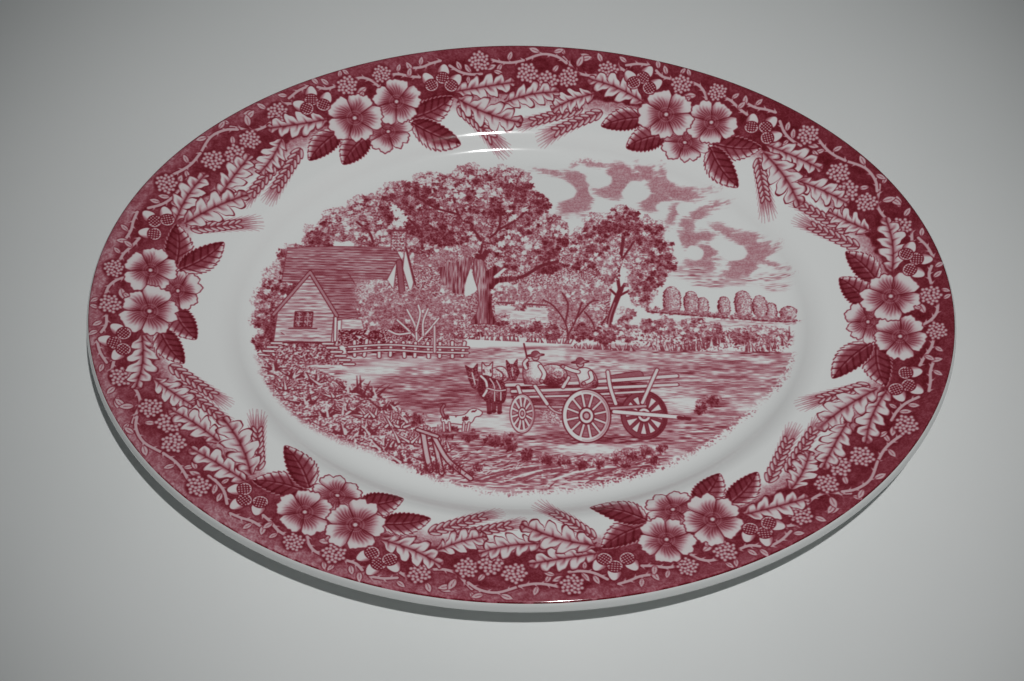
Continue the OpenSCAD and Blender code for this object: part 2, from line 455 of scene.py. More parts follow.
def draw_border(plate, half_length, half_width):
    """The ground and every motif, from the stems up to the acorns."""
    rim = Rim(half_length, half_width)
    repeat = rim.length / REPEATS
    draw_border_ground(plate, half_length, half_width)
    for k in range(REPEATS):
        start = k * repeat

        def motif(drawing, s, d, degrees, *sizes):
            x, y, heading = rim.place(start + s, d)
            drawing(plate, x, y, heading + math.radians(degrees), *sizes)

        def path(points):
            return [rim.place(start + s, d)[:2] for s, d in rounded(points)]

        for stem in STEMS:
            bramble(plate, path(stem))
        for s, d, degrees, length in SPRIGS:
            motif(sprig, s, d, degrees, length)
        for s, d, radius in BERRIES:
            x, y, _ = rim.place(start + s, d)
            berry(plate, x, y, radius)
        for leaf in WHEAT_EARS:
            motif(wheat, *leaf)
        for leaf in OAK_LEAVES:
            motif(oak_leaf, *leaf)
        for leaf in TOOTHED_LEAVES:
            motif(toothed_leaf, *leaf)
        for s, d, radius, squash in BLOSSOMS:
            motif(blossom, s, d, 90 if squash < 1 else 40 + s * 3, radius, squash)
        for s, d, degrees in ACORNS:
            motif(acorn, s, d, degrees, ACORN_SIZE)


CURVE_STEPS = 4


def rounded(points):
    """The points joined by a smooth curve that passes through them."""
    p = np.asarray(points, float)
    p = np.vstack([2 * p[0] - p[1], p, 2 * p[-1] - p[-2]])
    curve = []
    for a, b, c, d in zip(p, p[1:], p[2:], p[3:]):
        for k in range(CURVE_STEPS):
            t = k / CURVE_STEPS
            square, cube = 2 * a - 5 * b + 4 * c - d, 3 * b - a - 3 * c + d
            curve.append(0.5 * (2 * b + (c - a) * t + square * t ** 2 + cube * t ** 3))
    return curve + [p[-2]]


def draw_border_ground(plate, half_length, half_width):
    """The mottled crimson ground, from the lip to a ragged inner edge."""
    narrowing = half_width / half_length
    X, Y = plate.x[None, :], plate.y[:, None]
    reach = np.hypot(X, Y / narrowing)
    slope = np.maximum(np.hypot(X, Y / narrowing ** 2) / np.maximum(reach, 1), 1)
    d = (half_length - reach) / slope
    cloud = plate.noise(6, 6)
    blotch = plate.noise(1.9, 1.9)
    grain = plate.noise(0.4, 0.4)
    edge = 21 + 1.6 * blotch
    depth = (0.8 * X + 0.6 * Y) / half_length
    tone = 0.88 + 0.14 * depth + 0.26 * (cloud - 0.5) + 0.30 * (blotch - 0.5) + 0.34 * (grain - 0.5)
    worn = fade(np.abs(d - 3.2), 1.4, 4.6)
    patches = 0.12 + 0.60 * np.clip(blotch - 0.5, 0, 1) + 0.45 * np.clip(cloud - 0.45, 0, 1)
    tone -= worn * (1 - 0.6 * depth) * patches
    tone += 0.7 * fade(np.abs(d - 1.0), 0.2, 0.55) * ease(3 * blotch - 0.7)
    ground = fade(d, edge - 0.8, edge + 0.8)
    haze = 0.40 * fade(d, edge, edge + 6.5) * (0.4 + 0.9 * grain)
    bare = ease((d - 0.35 * grain - 0.25 * blotch) / 0.25)
    plate.ink[:] = np.where(d < MID_RIM + 12, np.maximum(ground * tone, haze), 0) * bare


# ---- The country scene in the well, drawn from the back forwards --------------------

# Foliage masses as circles (x, y, radius).
OAK_CROWN = [
    (-20, 59, 11), (-6, 60, 10), (-34, 57, 10), (-47, 53, 9), (-28, 45, 13), (-9, 42, 13), (2, 51, 8),
    (8, 38, 10), (-58, 46, 9), (-68, 41, 8), (-76, 35, 6), (10, 28, 8), (-3, 31, 9), (-38, 40, 9),
    (-37, 31, 6), (-56, 38, 8), (-84, 27, 6),
]
LEFT_TREES = [
    (-90, 17, 6), (-94, 8, 5), (-95, -1, 4), (-86, 22, 6), (-93, -10, 4), (-84, 14, 5), (-90, 5, 5),
    (-91, -4, 4),
]
SECOND_CROWN = [
    (38, 45, 7), (29, 42, 6), (47, 40, 7), (24, 36, 6), (52, 32, 5), (20, 29, 6), (27, 30, 7),
    (46, 20, 7), (51, 26, 6), (44, 11, 5), (36, 38, 7), (40, 30, 8),
]
SECOND_GAPS = [(32, 21, 4), (33, 27, 4), (41, 17, 3), (30, 15, 3), (38, 3, 3), (36, -2, 3)]
# Boughs seen through gaps in the oak's crown.
BOUGHS = [
    [(-16, 27), (-15, 34), (-19, 41), (-24, 47), (-26, 55)], [(-15, 34), (-9, 40), (-8, 50)],
    [(-9, 40), (-2, 45), (3, 51)], [(-24, 47), (-33, 50), (-40, 55)], [(-37, 31), (-38, 39), (-44, 46)],
    [(-55, 32), (-57, 38), (-62, 43)],
]
LIT_LEAVES = [(-37, 25, 4), (-31, 27, 4), (-25, 29, 4), (-19, 31, 3), (-52, 12, 5), (-57, 5, 4)]
GARDEN_BUSH = [(-45, 3, 8), (-52, 0, 5), (-39, 6, 7), (-31, 8, 7), (-25, 5, 6), (-30, 0, 7)]
FIELD_BUSHES = [
    (-7, 12, 4), (-1, 12, 4), (5, 11, 4), (11, 11, 5), (18, 14, 6), (26, 12, 5), (14, 4, 6), (24, 3, 6),
]
HEDGE = [
    (-7, 0, 3), (-1, -3, 3), (5, -2, 3), (11, -5, 3), (30, -6, 4), (38, -5, 4), (-14, -5, 2), (0, 6, 2),
    (22, -5, 4),
]
# Shaded parts of the near bank (x, y, half length, half height, tone).
BANK_PATCHES = [
    (-76, -24, 18, 5, 0.34), (-62, -33, 18, 6, 0.38), (-50, -42, 16, 7, 0.38),
    (-34, -50, 16, 6, 0.42), (-12, -55, 22, 7, 0.50), (16, -61, 34, 6, 0.44), (40, -57, 14, 4, 0.55),
    (-8, -65, 24, 4, 0.36), (62, -46, 10, 6, 0.36), (68, -33, 5, 3, 0.55),
]
# The near bank's ground, and its weeds as (x, y, leaf length, dark or pale leaves).
BANK = [
    (-98, -16), (-80, -19), (-66, -25), (-52, -31), (-40, -39), (-28, -48), (-24, -58), (-30, -67),
    (-50, -61), (-74, -48), (-92, -32), (-98, -16),
]
WEEDS = [
    (-88, -22, 4, 1), (-80, -25, 4, 1), (-84, -30, 4, 0), (-72, -28, 5, 1), (-76, -36, 5, 1),
    (-66, -33, 4, 0), (-60, -31, 6, 1), (-52, -33, 6, 1), (-68, -41, 6, 1), (-60, -40, 6, 1),
    (-54, -41, 5, 0), (-47, -38, 5, 1), (-62, -48, 5, 1), (-53, -48, 6, 1), (-44, -45, 6, 0),
    (-38, -43, 5, 1), (-47, -54, 5, 1), (-38, -51, 6, 0), (-31, -50, 5, 0), (-40, -59, 5, 1),
    (-31, -58, 4, 1), (-27, -54, 4, 0),
]
WEED_LEAVES = 13
GROUND_STROKES = 700
RUTS = 15
PATH_STROKES = 360
LOW_TUFTS = 40
# Low plants along the edge of the near bank.
TUFTS = [
    (-24, -47, 1.8), (-17, -48, 2), (-10, -50, 2.2), (-3, -52, 2), (3, -55.5, 2.2), (9, -57, 2),
    (15, -58, 2.2), (21, -58.5, 2), (27, -58, 2.4), (33, -56.5, 2.2), (38, -55, 2.4), (44, -53.5, 2.4),
    (49, -52.5, 1.8), (36, -59, 1.8), (46, -57, 1.8),
]
# Dark and light parts of the field (x, y, half length, half height, change of tone).
FIELD_PATCHES = [
    (-32, -31, 26, 9, 0.20), (76, -23, 22, 7, 0.12), (60, -44, 18, 6, 0.22), (12, -47, 30, 3.5, 0.10),
    (-12, -44, 15, 5, -0.32), (58, -33, 12, 3, -0.30), (3, -15, 18, 2.6, -0.26),
    (62, -13.5, 16, 2, -0.26), (25, -53.5, 24, 2.4, -0.30), (-8, -12, 12, 1.6, 0.20),
    (-10, -19, 9, 2, -0.2), (80, -34, 8, 3, -0.2),
]
# Each thicket's left and right ends, and its leafy tops as circles.
THICKETS = [
    (43, 75, [(46, -1.5, 3), (53, -2, 4), (61, -3, 4), (69, -4, 4), (64, -1, 3)]),
    (76, 97, [(79, -6, 3), (84, -4.5, 3), (90, -4.5, 3), (94, -6, 3)]),
]
# Far trees (x, y, half width, half height).
FAR_TREES = [
    (97, 4, 3, 3), (91, 5, 2.2, 4), (87, 7, 2.8, 5), (81, 8, 3.3, 6), (74, 7, 2.3, 4.4), (66, 7, 2.4, 4),
    (62, 8.4, 2.8, 5.2), (55, 9.4, 3.3, 6.2),
]

# Each cloud's shaded parts and the round white puffs that stand before them, as ovals
# (x, y, half length, half height, turn in degrees).
CLOUDS = [
    (
        [
            (12, 67, 7, 1.4, -12), (20, 65, 6, 3.2, -25), (23, 61, 4.5, 5, 20), (23, 55, 4, 6, -15),
            (18, 51, 5, 4, 20), (20, 71, 3, 0.9, 40),
        ],
        [(14, 58, 6.5, 4.2, 10), (30, 59, 5, 4.5, 0), (12, 71, 5, 2.2, 0)],
    ),
    (
        [
            (28, 71, 6, 1.3, -14), (37, 67, 5.5, 4.4, -20), (37, 61, 4.5, 5, 10), (33, 58, 6, 3, -10),
            (44, 66, 4, 2.4, 0),
        ],
        [(29, 64, 5, 3.6, 0), (43.5, 59, 4.6, 4.6, 0), (40, 73, 4, 1.8, -10)],
    ),
    (
        [
            (47, 67, 4.6, 3, -30), (53, 61, 5.6, 5, -30), (60, 57.5, 8, 3, -12), (50, 54, 6.5, 4.5, 20),
            (68, 57.4, 5, 1.1, 0), (53, 66, 1.6, 3, 10),
        ],
        [
            (43, 57.5, 5.4, 3.6, 0), (54.6, 51.6, 4.2, 2.6, 0), (58, 64.5, 3.4, 2.6, -30),
            (47.5, 71, 3, 1.8, 0),
        ],
    ),
    (
        [(57, 48, 2, 5.5, -25), (66, 48, 5.5, 2.4, 35), (73, 52, 4.5, 1.3, 0), (62, 44, 3, 3.6, 0)],
        [(60.6, 50.6, 2.4, 3.2, 0), (67.6, 43.6, 2.8, 2.2, 0)],
    ),
    (
        [
            (62, 37, 4, 5, 20), (67, 38, 5, 2.4, 10), (68, 31, 4.5, 4, 0), (66, 25, 6.5, 4, 10),
            (70, 28, 5, 1.2, 0),
        ],
        [(64.2, 30.6, 3.2, 3.4, 0), (57, 34, 2.4, 4.6, 0), (73, 34.6, 2.8, 2.4, 0)],
    ),
    (
        [
            (76, 41, 5, 2.2, -35), (83, 37, 7, 3.2, -20), (87, 31, 5.4, 5, 0), (82, 25, 6, 5, 30),
            (92, 30, 4.5, 1.3, 35), (92, 25.6, 4.5, 1.2, -30), (78, 21, 5, 2.2, 0),
        ],
        [(78.6, 31, 5, 3.8, 0), (94, 28.2, 3, 1.5, 0), (88, 20.6, 4.2, 3, 20)],
    ),
]
CLOUD_TONE = 0.46
# Faint level streaks under the clouds (x, y, half length).
SKY_STREAKS = [(20, 47, 8), (66, 20, 9), (70, 17, 7), (80, 18, 8), (93, 20, 7), (94, 15.6, 6), (62, 23, 8)]

# The shade under and behind the two trees.
UNDER_TREES = [
    (-60, 10), (-44, 27), (-30, 33), (-8, 30), (12, 24), (28, 26), (33, 14), (32, 4), (30.6, -8),
    (-20, -7), (-22, -13), (-62, -12),
]

# Edge of the whole picture, as points that a smooth curve joins.
VIGNETTE = [
    (-99, 6), (-95, 20), (-85, 38), (-70, 51), (-53, 63), (-32, 71), (-5, 73), (20, 74), (50, 72),
    (75, 58), (92, 41), (101, 20), (101, -2), (95, -22), (82, -37), (64, -52), (45, -62), (20, -69),
    (-8, -71), (-30, -66), (-48, -58), (-72, -48), (-88, -34), (-97, -14),
]

# Above 1 this lightens the picture's middle tones and keeps its darkest.
SCENE_CONTRAST = 1.3


def marks(tone, field, crispness=1.0):
    """Breaks a tone into engraved marks, denser where the tone is darker."""
    return np.clip(tone + (0.5 - field) * crispness * np.clip(4 * tone * (1.25 - tone), 0, 1), 0.0, 1.1)


def spray(plate, x, y, radius, tone, around):
    """One spray of leaves: a lobed blot with a gap of another tone round it."""
    at, u, v = plate.local(x, y, 0, radius * 1.25)
    lobes = 3 + int(plate.random.random() * 4)
    turn = np.arctan2(v, u) * lobes / 2 + plate.random.random() * TURN
    edge = radius * (0.55 + 0.45 * np.abs(np.cos(turn)) ** 0.8) - np.hypot(u, v)
    edge += 0.7 * (plate.leaf[at] - 0.5)
    plate.lay(at, 0.8 * inside(edge + 0.28, 0.3), around)
    plate.lay(at, inside(edge, 0.2), marks(tone, plate.fine[at], 0.5))


def leafy(plate, circles, count, size, light, dark, ground):
    """A mass of foliage: sprays of leaves, lit from the upper left, over a plain
    ground, or over what is there when ground is None."""
    random = plate.random
    circles = np.asarray(circles, float)
    for x, y, radius in circles:
        at, u, v = plate.local(x, y, 0, radius * 1.1)
        edge = radius * 0.93 - np.hypot(u, v) + 2.4 * (plate.cloud[at] - 0.5) + 1.2 * (plate.leaf[at] - 0.5)
        if ground is not None:
            plate.lay(at, inside(edge, 0.4), marks(ground, plate.leaf[at], 0.8))
    share = circles[:, 2] ** 2 / (circles[:, 2] ** 2).sum()
    chosen = circles[random.choice(len(circles), count, p=share)]
    turn, out = random.random(count) * TURN, np.sqrt(random.random(count)) * 0.97
    dx, dy = np.cos(turn) * out, np.sin(turn) * out
    x, y = chosen[:, 0] + dx * chosen[:, 2], chosen[:, 1] + dy * chosen[:, 2]
    sizes = size * (0.6 + 0.7 * random.random(count))
    lit = 0.35 + 0.32 * dy - 0.18 * dx + 0.9 * (plate.broad_at(x, y) - 0.4)
    lit = lit + 0.26 * random.normal(size=count)
    tones = dark + (light - dark) * ease(1.6 * lit - 0.3)
    for k in np.argsort(-y):
        around = tones[k] + (0.5 if tones[k] < 0.5 else -0.5) * (dark - light)
        spray(plate, x[k], y[k], sizes[k], tones[k], around)


def fill(plate, points, tone, field=None, outline=None, width=0.3, crispness=1.0):
    """Fills an outline with a tone, or with marks when a field is given."""
    at, X, Y, depth = plate.area(points)
    value = tone(X, Y) if callable(tone) else tone
    if field is not None:
        value = marks(value, field[at], crispness)
    if outline is not None:
        plate.lay(at, inside(depth + width), outline)
    plate.lay(at, inside(depth), value)


def patch(plate, x, y, half_length, half_height, tone, field, softness=0.5):
    """A soft-edged oval of marks."""
    reach = 1 + softness
    at = plate.window(x - half_length * reach, x + half_length * reach,
                      y - half_height * reach, y + half_height * reach)
    u = (plate.x[at[1]][None, :] - x) / half_length
    v = (plate.y[at[0]][:, None] - y) / half_height
    cover = fade(np.hypot(u, v) + 0.5 * (field[at] - 0.5), 1 - softness, 1 + softness * 0.6)
    plate.lay(at, cover * 0.9, marks(tone, field[at], 1.1))


def oval_gap(plate, x, y, half_length, half_height, degrees):
    """The grid near an oval, and about how far inside its edge each point lies."""
    at, u, v = plate.local(x, y, math.radians(degrees), max(half_length, half_height) + 3)
    r = np.hypot(u / half_length, v / half_height)
    return at, (1 - r) * min(half_length, half_height)


def draw_sky(plate):
    """Rose shading on the clouds, scalloped by white puffs and wispy below."""
    shade = np.zeros_like(plate.ink)
    for parts, puffs in CLOUDS:
        for part in parts:
            at, depth = oval_gap(plate, *part)
            wisp = 2.2 * (plate.ripple[at] - 0.5) + 1.6 * (plate.cloud[at] - 0.5)
            shade[at] = np.maximum(shade[at], ease((depth + wisp) / 2.0 + 0.45))
        for puff in puffs:
            at, depth = oval_gap(plate, *puff)
            shade[at] *= 1 - 0.95 * ease((depth + 0.8 * (plate.cloud[at] - 0.5)) / 0.9 + 0.5)
    plate.ink[:] = CLOUD_TONE * shade * (0.85 + 0.4 * plate.fine - 0.35 * plate.ripple)
    for x, y, half_length in SKY_STREAKS:
        patch(plate, x, y, half_length, 1.8, 0.20, plate.ripple, 0.7)


def draw_far_trees(plate):
    """Rounded trees, light inside and dark at their left edges, along a hedge."""
    for x, y, half_length, half_height in FAR_TREES:
        at, u, v = plate.local(x, y, 0, half_height * 1.4)
        side = half_length * np.sqrt(np.maximum(1 - np.abs(v / half_height) ** 2.4, 0))
        edge = np.minimum(side - np.abs(u), half_height - np.abs(v)) + (plate.leaf[at] - 0.5) * 0.5
        tone = 0.25 + 0.55 * fade(edge, 0.15, 0.5) + 0.35 * fade(u / half_length, -0.9, 0.1)
        plate.lay(at, inside(edge, 0.25), marks(tone, plate.fine[at], 0.6))
    for x in np.arange(46, 100, 1.6):
        y = 4.2 - 0.078 * (x - 48)
        spray(plate, x, y + 0.8 + 0.7 * math.sin(x * 1.7), 1.1, 0.55, 0.3)
        plate.line([(x, y), (x + 1.7, y - 0.13)], 0.45 + 0.25 * plate.random.random(), 0.95)
    patch(plate, 74, -0.4, 26, 1.3, 0.16, plate.ripple, 0.4)


def draw_thickets(plate):
    """Two long low thickets: dark leafy tops over upright stalks."""
    random = plate.random
    for left, right, tops in THICKETS:
        patch(plate, (left + right) / 2, -7, (right - left) * 0.55, 5, 0.42, plate.leaf, 0.3)
        leafy(plate, tops, 26 * len(tops), 0.95, 0.0, 0.85, 0.32)
        for x in np.arange(left + 4, right, 0.42):
            share = (x - left) / (right - left)
            y = -4.5 - 7.5 * math.sin(math.pi * min(1, 0.15 + 0.85 * share)) ** 0.5 - random.random()
            dark = 0.85 if random.random() < 0.55 else 0.08
            angle = math.pi / 2 + random.normal(0, 0.22)
            plate.stroke(x, y, angle, 2.6 + 2.2 * random.random(), 0.42, dark, 0.7)
        patch(plate, (left + right) / 2, -13, (right - left) * 0.42, 0.9, 0.5, plate.ripple, 0.5)


def draw_field(plate):
    """The open field: level strokes, dense in its dark patches and sparse in its light ones."""
    X, Y = plate.x[None, :], plate.y[:, None]
    cover = ease((-9.5 - 0.05 * np.abs(X - 30) - Y) / 1.2 + plate.ripple - 0.2)
    cover = cover * ease((X + 64 - np.maximum(0, -Y - 20) * 0.95) / 2)
    tone = np.full((len(plate.y), len(plate.x)), 0.33)
    for x, y, half_length, half_height, change in FIELD_PATCHES:
        tone += change * np.exp(-((X - x) / half_length) ** 2 - ((Y - y) / half_height) ** 2)
    tone += 0.42 * (plate.swell - 0.5) + 0.10 * (plate.cloud - 0.5)
    plate.ink += cover * (marks(np.clip(tone, 0.05, 1), plate.ripple, 0.65) - plate.ink)


def draw_trunks(plate):
    """The oak's trunk and boughs, the trunk behind it, and the second tree's."""
    boughs = [
        ([(-16, 24), (-17, 36), (-22, 47), (-27, 55)], 2.4),
        ([(-15, 26), (-10, 38), (-10, 50), (-14, 60)], 2.0),
        ([(-10, 22), (-4, 27), (2, 31), (10, 34)], 1.4),
        ([(-5, 17.6), (1, 19.5), (7, 24), (13, 26)], 1.3), ([(-16, 34), (-9, 40), (-2, 46)], 1.3),
        ([(-22, 46), (-32, 50), (-40, 56)], 1.2), ([(-27, 26), (-32, 34), (-38, 44)], 1.4),
        ([(-22, 38), (-24, 46), (-30, 60)], 1.1), ([(-33, 36), (-42, 40), (-50, 47)], 1.0),
        ([(-52, 32), (-55, 38), (-60, 42)], 0.9),
    ]
    for points, width in boughs:
        plate.line(rounded(points), width, 0.95)
    behind = [(-33, 33), (-25, 36), (-18, 34), (-19.6, 18), (-22, 11), (-25, 10), (-28.6, 14), (-33, 33)]
    fill(plate, rounded(behind), 0.62, plate.bark, crispness=0.7)
    foot = [(-22, 11), (-17, 13), (-15.4, 5), (-14, -1.4), (-21, -0.6), (-24, 3), (-22, 11)]
    fill(plate, rounded(foot), 0.46, plate.fine, crispness=0.8)
    hollow = [(-19, 22.5), (-17, 16.5), (-16.4, 13), (-18.4, 11), (-20.8, 10.4), (-20.6, 16), (-19, 22.5)]
    gaps = [
        rounded(hollow),
        [(-13, 20), (-8, 23.6), (-5, 23), (-9, 18.6)],
        [(-10.4, 15.6), (-5, 16.6), (-3, 15), (-9.6, 9)],
    ]
    for gap, tone in zip(gaps, (0.0, 0.02, 0.02)):
        fill(plate, gap, tone)
    trunk = [
        (-17.6, 27), (-14.4, 26), (-13, 21.4), (-8, 25.4), (-5.6, 24.4), (-11, 18.2), (-4, 19),
        (-1.4, 17.8), (-9, 16), (-10.8, 12), (-11, 6), (-9.8, 0.6), (-7.4, -2), (-13, -1.6),
        (-18, -1.4), (-16, 4), (-15.8, 12), (-17.8, 20), (-17.6, 27),
    ]

    def shade(X, Y):
        return 0.50 + 0.42 * ease((X + 15) / 4.2) + 0.3 * fade(X + 0.12 * Y, -16.4, -15.2)

    fill(plate, rounded(trunk), shade, plate.bark, outline=0.9, width=0.2, crispness=0.55)
    slim = [
        ([(31.4, -5), (32.4, 2), (34.6, 9), (36.4, 14)], 2.0),
        ([(36, 13), (35.4, 20), (36.6, 28), (38, 38)], 1.2), ([(36, 13), (40, 20), (43, 25)], 1.1),
        ([(35.6, 11), (40, 13.5), (45, 13)], 0.9), ([(35, 11), (31, 16), (27, 24)], 0.9),
        ([(36, 20), (32, 27), (30, 36)], 0.8), ([(37, 27), (42, 36)], 0.7),
    ]
    for points, width in slim:
        plate.line(rounded(points), width, 0.95)
    plate.line(rounded([(31.4, -3), (32.2, 2), (34, 8)]), 0.5, 0.45)


def courses(middle, swing, spacing, slant=0.0):
    """A tone for boards or tiles, which waves with height and is this far apart."""
    return lambda X, Y: middle + swing * np.sin(Y * TURN / spacing + X * slant)


def draw_cottage(plate):
    """A cottage: tiled roof, boarded gable end, chimney, small far gables and steps."""
    roof = [
        (-87, 30.5), (-71, 31.5), (-47.5, 31.5), (-43.8, 24), (-49, 14), (-55, 8), (-64, 10), (-72, 14),
        (-88, 16),
    ]
    fill(plate, roof, courses(0.52, 0.14, 1.15, 0.1), plate.ripple, 0.8, crispness=0.55)
    wing = [(-77.3, 19.4), (-64, 19.6), (-54, 2), (-67.5, -1)]
    fill(plate, wing, courses(0.58, 0.14, 1.15), plate.ripple, 0.9, crispness=0.55)
    patch(plate, -58, 12, 4, 6, 0.2, plate.fine, 0.5)
    wall = [(-88.5, 3.5), (-77.8, 18.6), (-68.2, 2.8), (-68.5, -10.5), (-89, -10.5)]
    fill(plate, wall, courses(0.27, 0.12, 1.5), plate.ripple, 0.85, crispness=0.6)
    plate.line([(-90, 1.2), (-78, 20), (-67, 1)], 1.0, 0.42, edge_tone=1.0)
    for x in (-80.6, -77.4):
        pane = [(x - 1.4, 2.4), (x + 1.4, 2.4), (x + 1.4, -3.8), (x - 1.4, -3.8)]
        fill(plate, pane, 0.75, plate.fine, 1.0, 0.4)
        plate.line([(x, 2), (x, -3.6)], 0.3, 0.2)
        for y in (0.4, -1.7):
            plate.line([(x - 1.3, y), (x + 1.3, y)], 0.3, 0.2)
    plate.line([(-84, -4.6), (-74, -4.6)], 0.5, 0.9)
    plate.line([(-90, -10.6), (-67, -10.6)], 0.8, 0.95)
    plate.line([(-67.4, 0), (-67, -9.5)], 0.9, 0.04, edge_tone=0.95)
    fill(plate, [(-65, -0.5), (-58, -0.5), (-57, -4.5), (-65, -4.5)], 0.12, plate.ripple, 0.7)
    fill(plate, [(-66, -5), (-50, -5), (-48, -12), (-66, -12)], 0.75, plate.leaf, crispness=1.4)
    fill(plate, [(-92, -11), (-66, -11), (-62, -20), (-94, -20)], 0.50, plate.leaf)
    for x0, x1 in ((-88, -94.5), (-69.5, -61.5)):
        for k in range(6):
            x, y = x0 + (x1 - x0) * k / 5, -11 - 1.7 * k
            plate.line([(x - 1.8, y), (x + 1.8, y)], 0.8, 0.1, edge_tone=0.9, edge=0.35)
    gables = [[(-46.3, 25), (-49.4, 17), (-47, 13)], [(-43.4, 31), (-39.8, 16), (-40.6, 11), (-43.8, 22)]]
    for gable in gables:
        fill(plate, gable, 0.03, outline=0.8)
    plate.line([(-45.4, 25), (-43.8, 12)], 1.8, 0.6, edge_tone=0.95)
    plate.line([(-43, 31.4), (-39, 15)], 0.5, 0.95)
    chimney = [(-48.6, 30), (-48.6, 39), (-43.4, 39), (-43.4, 30)]
    fill(plate, chimney, courses(0.40, 0.2, 1.3), plate.fine, 0.8)
    plate.line([(-49, 39.2), (-43, 39.2)], 0.9, 0.85)
    for x, y, size in ((-46, 42.4, 1.8), (-44.8, 44.8, 2.0), (-46.6, 47.2, 2.2), (-48.4, 49.6, 1.6)):
        spray(plate, x, y, size, 0.0, 0.2)


def draw_garden(plate):
    """A pale bush with bare limbs behind a rail fence."""
    leafy(plate, LIT_LEAVES, 90, 1.1, 0.02, 0.55, 0.3)
    leafy(plate, GARDEN_BUSH, 420, 0.95, 0.0, 0.66, 0.26)
    patch(plate, -40, -6, 9, 3.4, 0.85, plate.fine, 0.4)
    limbs = [
        [(-36.6, -14), (-37.6, -9), (-41, -4.6), (-45, -0.5)], [(-37.6, -9), (-38.4, -3), (-41.6, 4)],
        [(-37.4, -10), (-33.6, -5), (-30, 0.5)], [(-35.4, -7), (-35.6, -1), (-34, 4.5)],
        [(-40, -6), (-44.6, -6.6), (-48, -5)], [(-38, -5), (-36.8, 2), (-37.6, 6)],
    ]
    for limb in limbs:
        plate.line(rounded(limb), 0.7, 0.04, edge_tone=0.75, edge=0.22)
    fill(plate, [(-64, -11), (-19, -12), (-19, -16), (-62, -15.6)], 0.62, plate.ripple, crispness=1.4)
    random = plate.random
    for x in np.arange(-60, -19, 4.4):
        lean = random.normal(0, 0.5)
        post = [(x, -10.2 + random.random()), (x + lean, -15.4 - random.random())]
        plate.line(post, 1.1, 0.08, edge_tone=0.95)
    for y in (-11.6, -13.8):
        rail = [(-62, y - 0.6), (-48, y + 0.5), (-34, y - 0.2), (-19, y - 0.4)]
        plate.line(rounded(rail), 0.7, 0.12, edge_tone=0.95)
    plate.line([(-31.4, -3), (-31, -14)], 0.7, 0.12, edge_tone=0.7)


def draw_middle(plate):
    """Fields and bushes between the oak and the second tree."""
    leafy(plate, FIELD_BUSHES, 300, 0.95, 0.0, 0.55, 0.26)
    fill(plate, [(-10, 6.5), (9, 5.4), (10, -1), (-9, -1)], 0.08, plate.ripple, crispness=1.4)
    plate.line(rounded([(-9, 7.6), (0, 7.2), (9, 6.6)]), 0.8, 0.75)
    stems = [
        [(17, -8), (16, -1), (12, 6), (8, 9)], [(17, -6), (20, 1), (22, 8)],
        [(27, -8), (26, -1), (23, 4)], [(16, -1), (17, 7), (15, 12)],
        [(28, -8), (29, -2), (31, 2)], [(20, 1), (25, 8), (28, 9)],
    ]
    for stem in stems:
        plate.line(rounded(stem), 0.6, 0.9)
    leafy(plate, HEDGE, 220, 0.95, 0.0, 0.95, 0.5)
    for x in np.arange(-24, 43, 0.55):
        y = -8 - 0.045 * (x + 24) - 1.6 * (18 < x < 41)
        tone = 0.1 if plate.random.random() < 0.3 else 0.85
        angle = math.pi / 2 + plate.random.normal(0, 0.4)
        plate.stroke(x, y, angle, 1.6 + 1.6 * plate.random.random(), 0.4, tone)


def tuft(plate, x, y, height, blades, tone):
    """A fan of grass blades."""
    for _ in range(blades):
        angle = math.pi / 2 + plate.random.normal(0, 0.6)
        foot = x + plate.random.normal(0, height * 0.25)
        plate.stroke(foot, y, angle, height * (0.6 + 0.6 * plate.random.random()), 0.35, tone, 0.9)


def weed(plate, x, y, reach, dark):
    """A low plant: long pointed leaves spread like a fan."""
    for k in range(WEED_LEAVES):
        share = k * 5 % WEED_LEAVES / (WEED_LEAVES - 1)
        angle = math.radians(10 + 160 * share) + plate.random.normal(0, 0.25)
        length = reach * (0.6 + 0.6 * plate.random.random())
        foot = x + plate.random.normal(0, 0.3 * reach)
        if not dark:
            plate.stroke(foot, y, angle, length + 0.4, 1.7, 0.95, 0.85)
        plate.stroke(foot, y, angle, length, 1.0, 0.9 if dark and k % 4 else 0.12, 0.85)


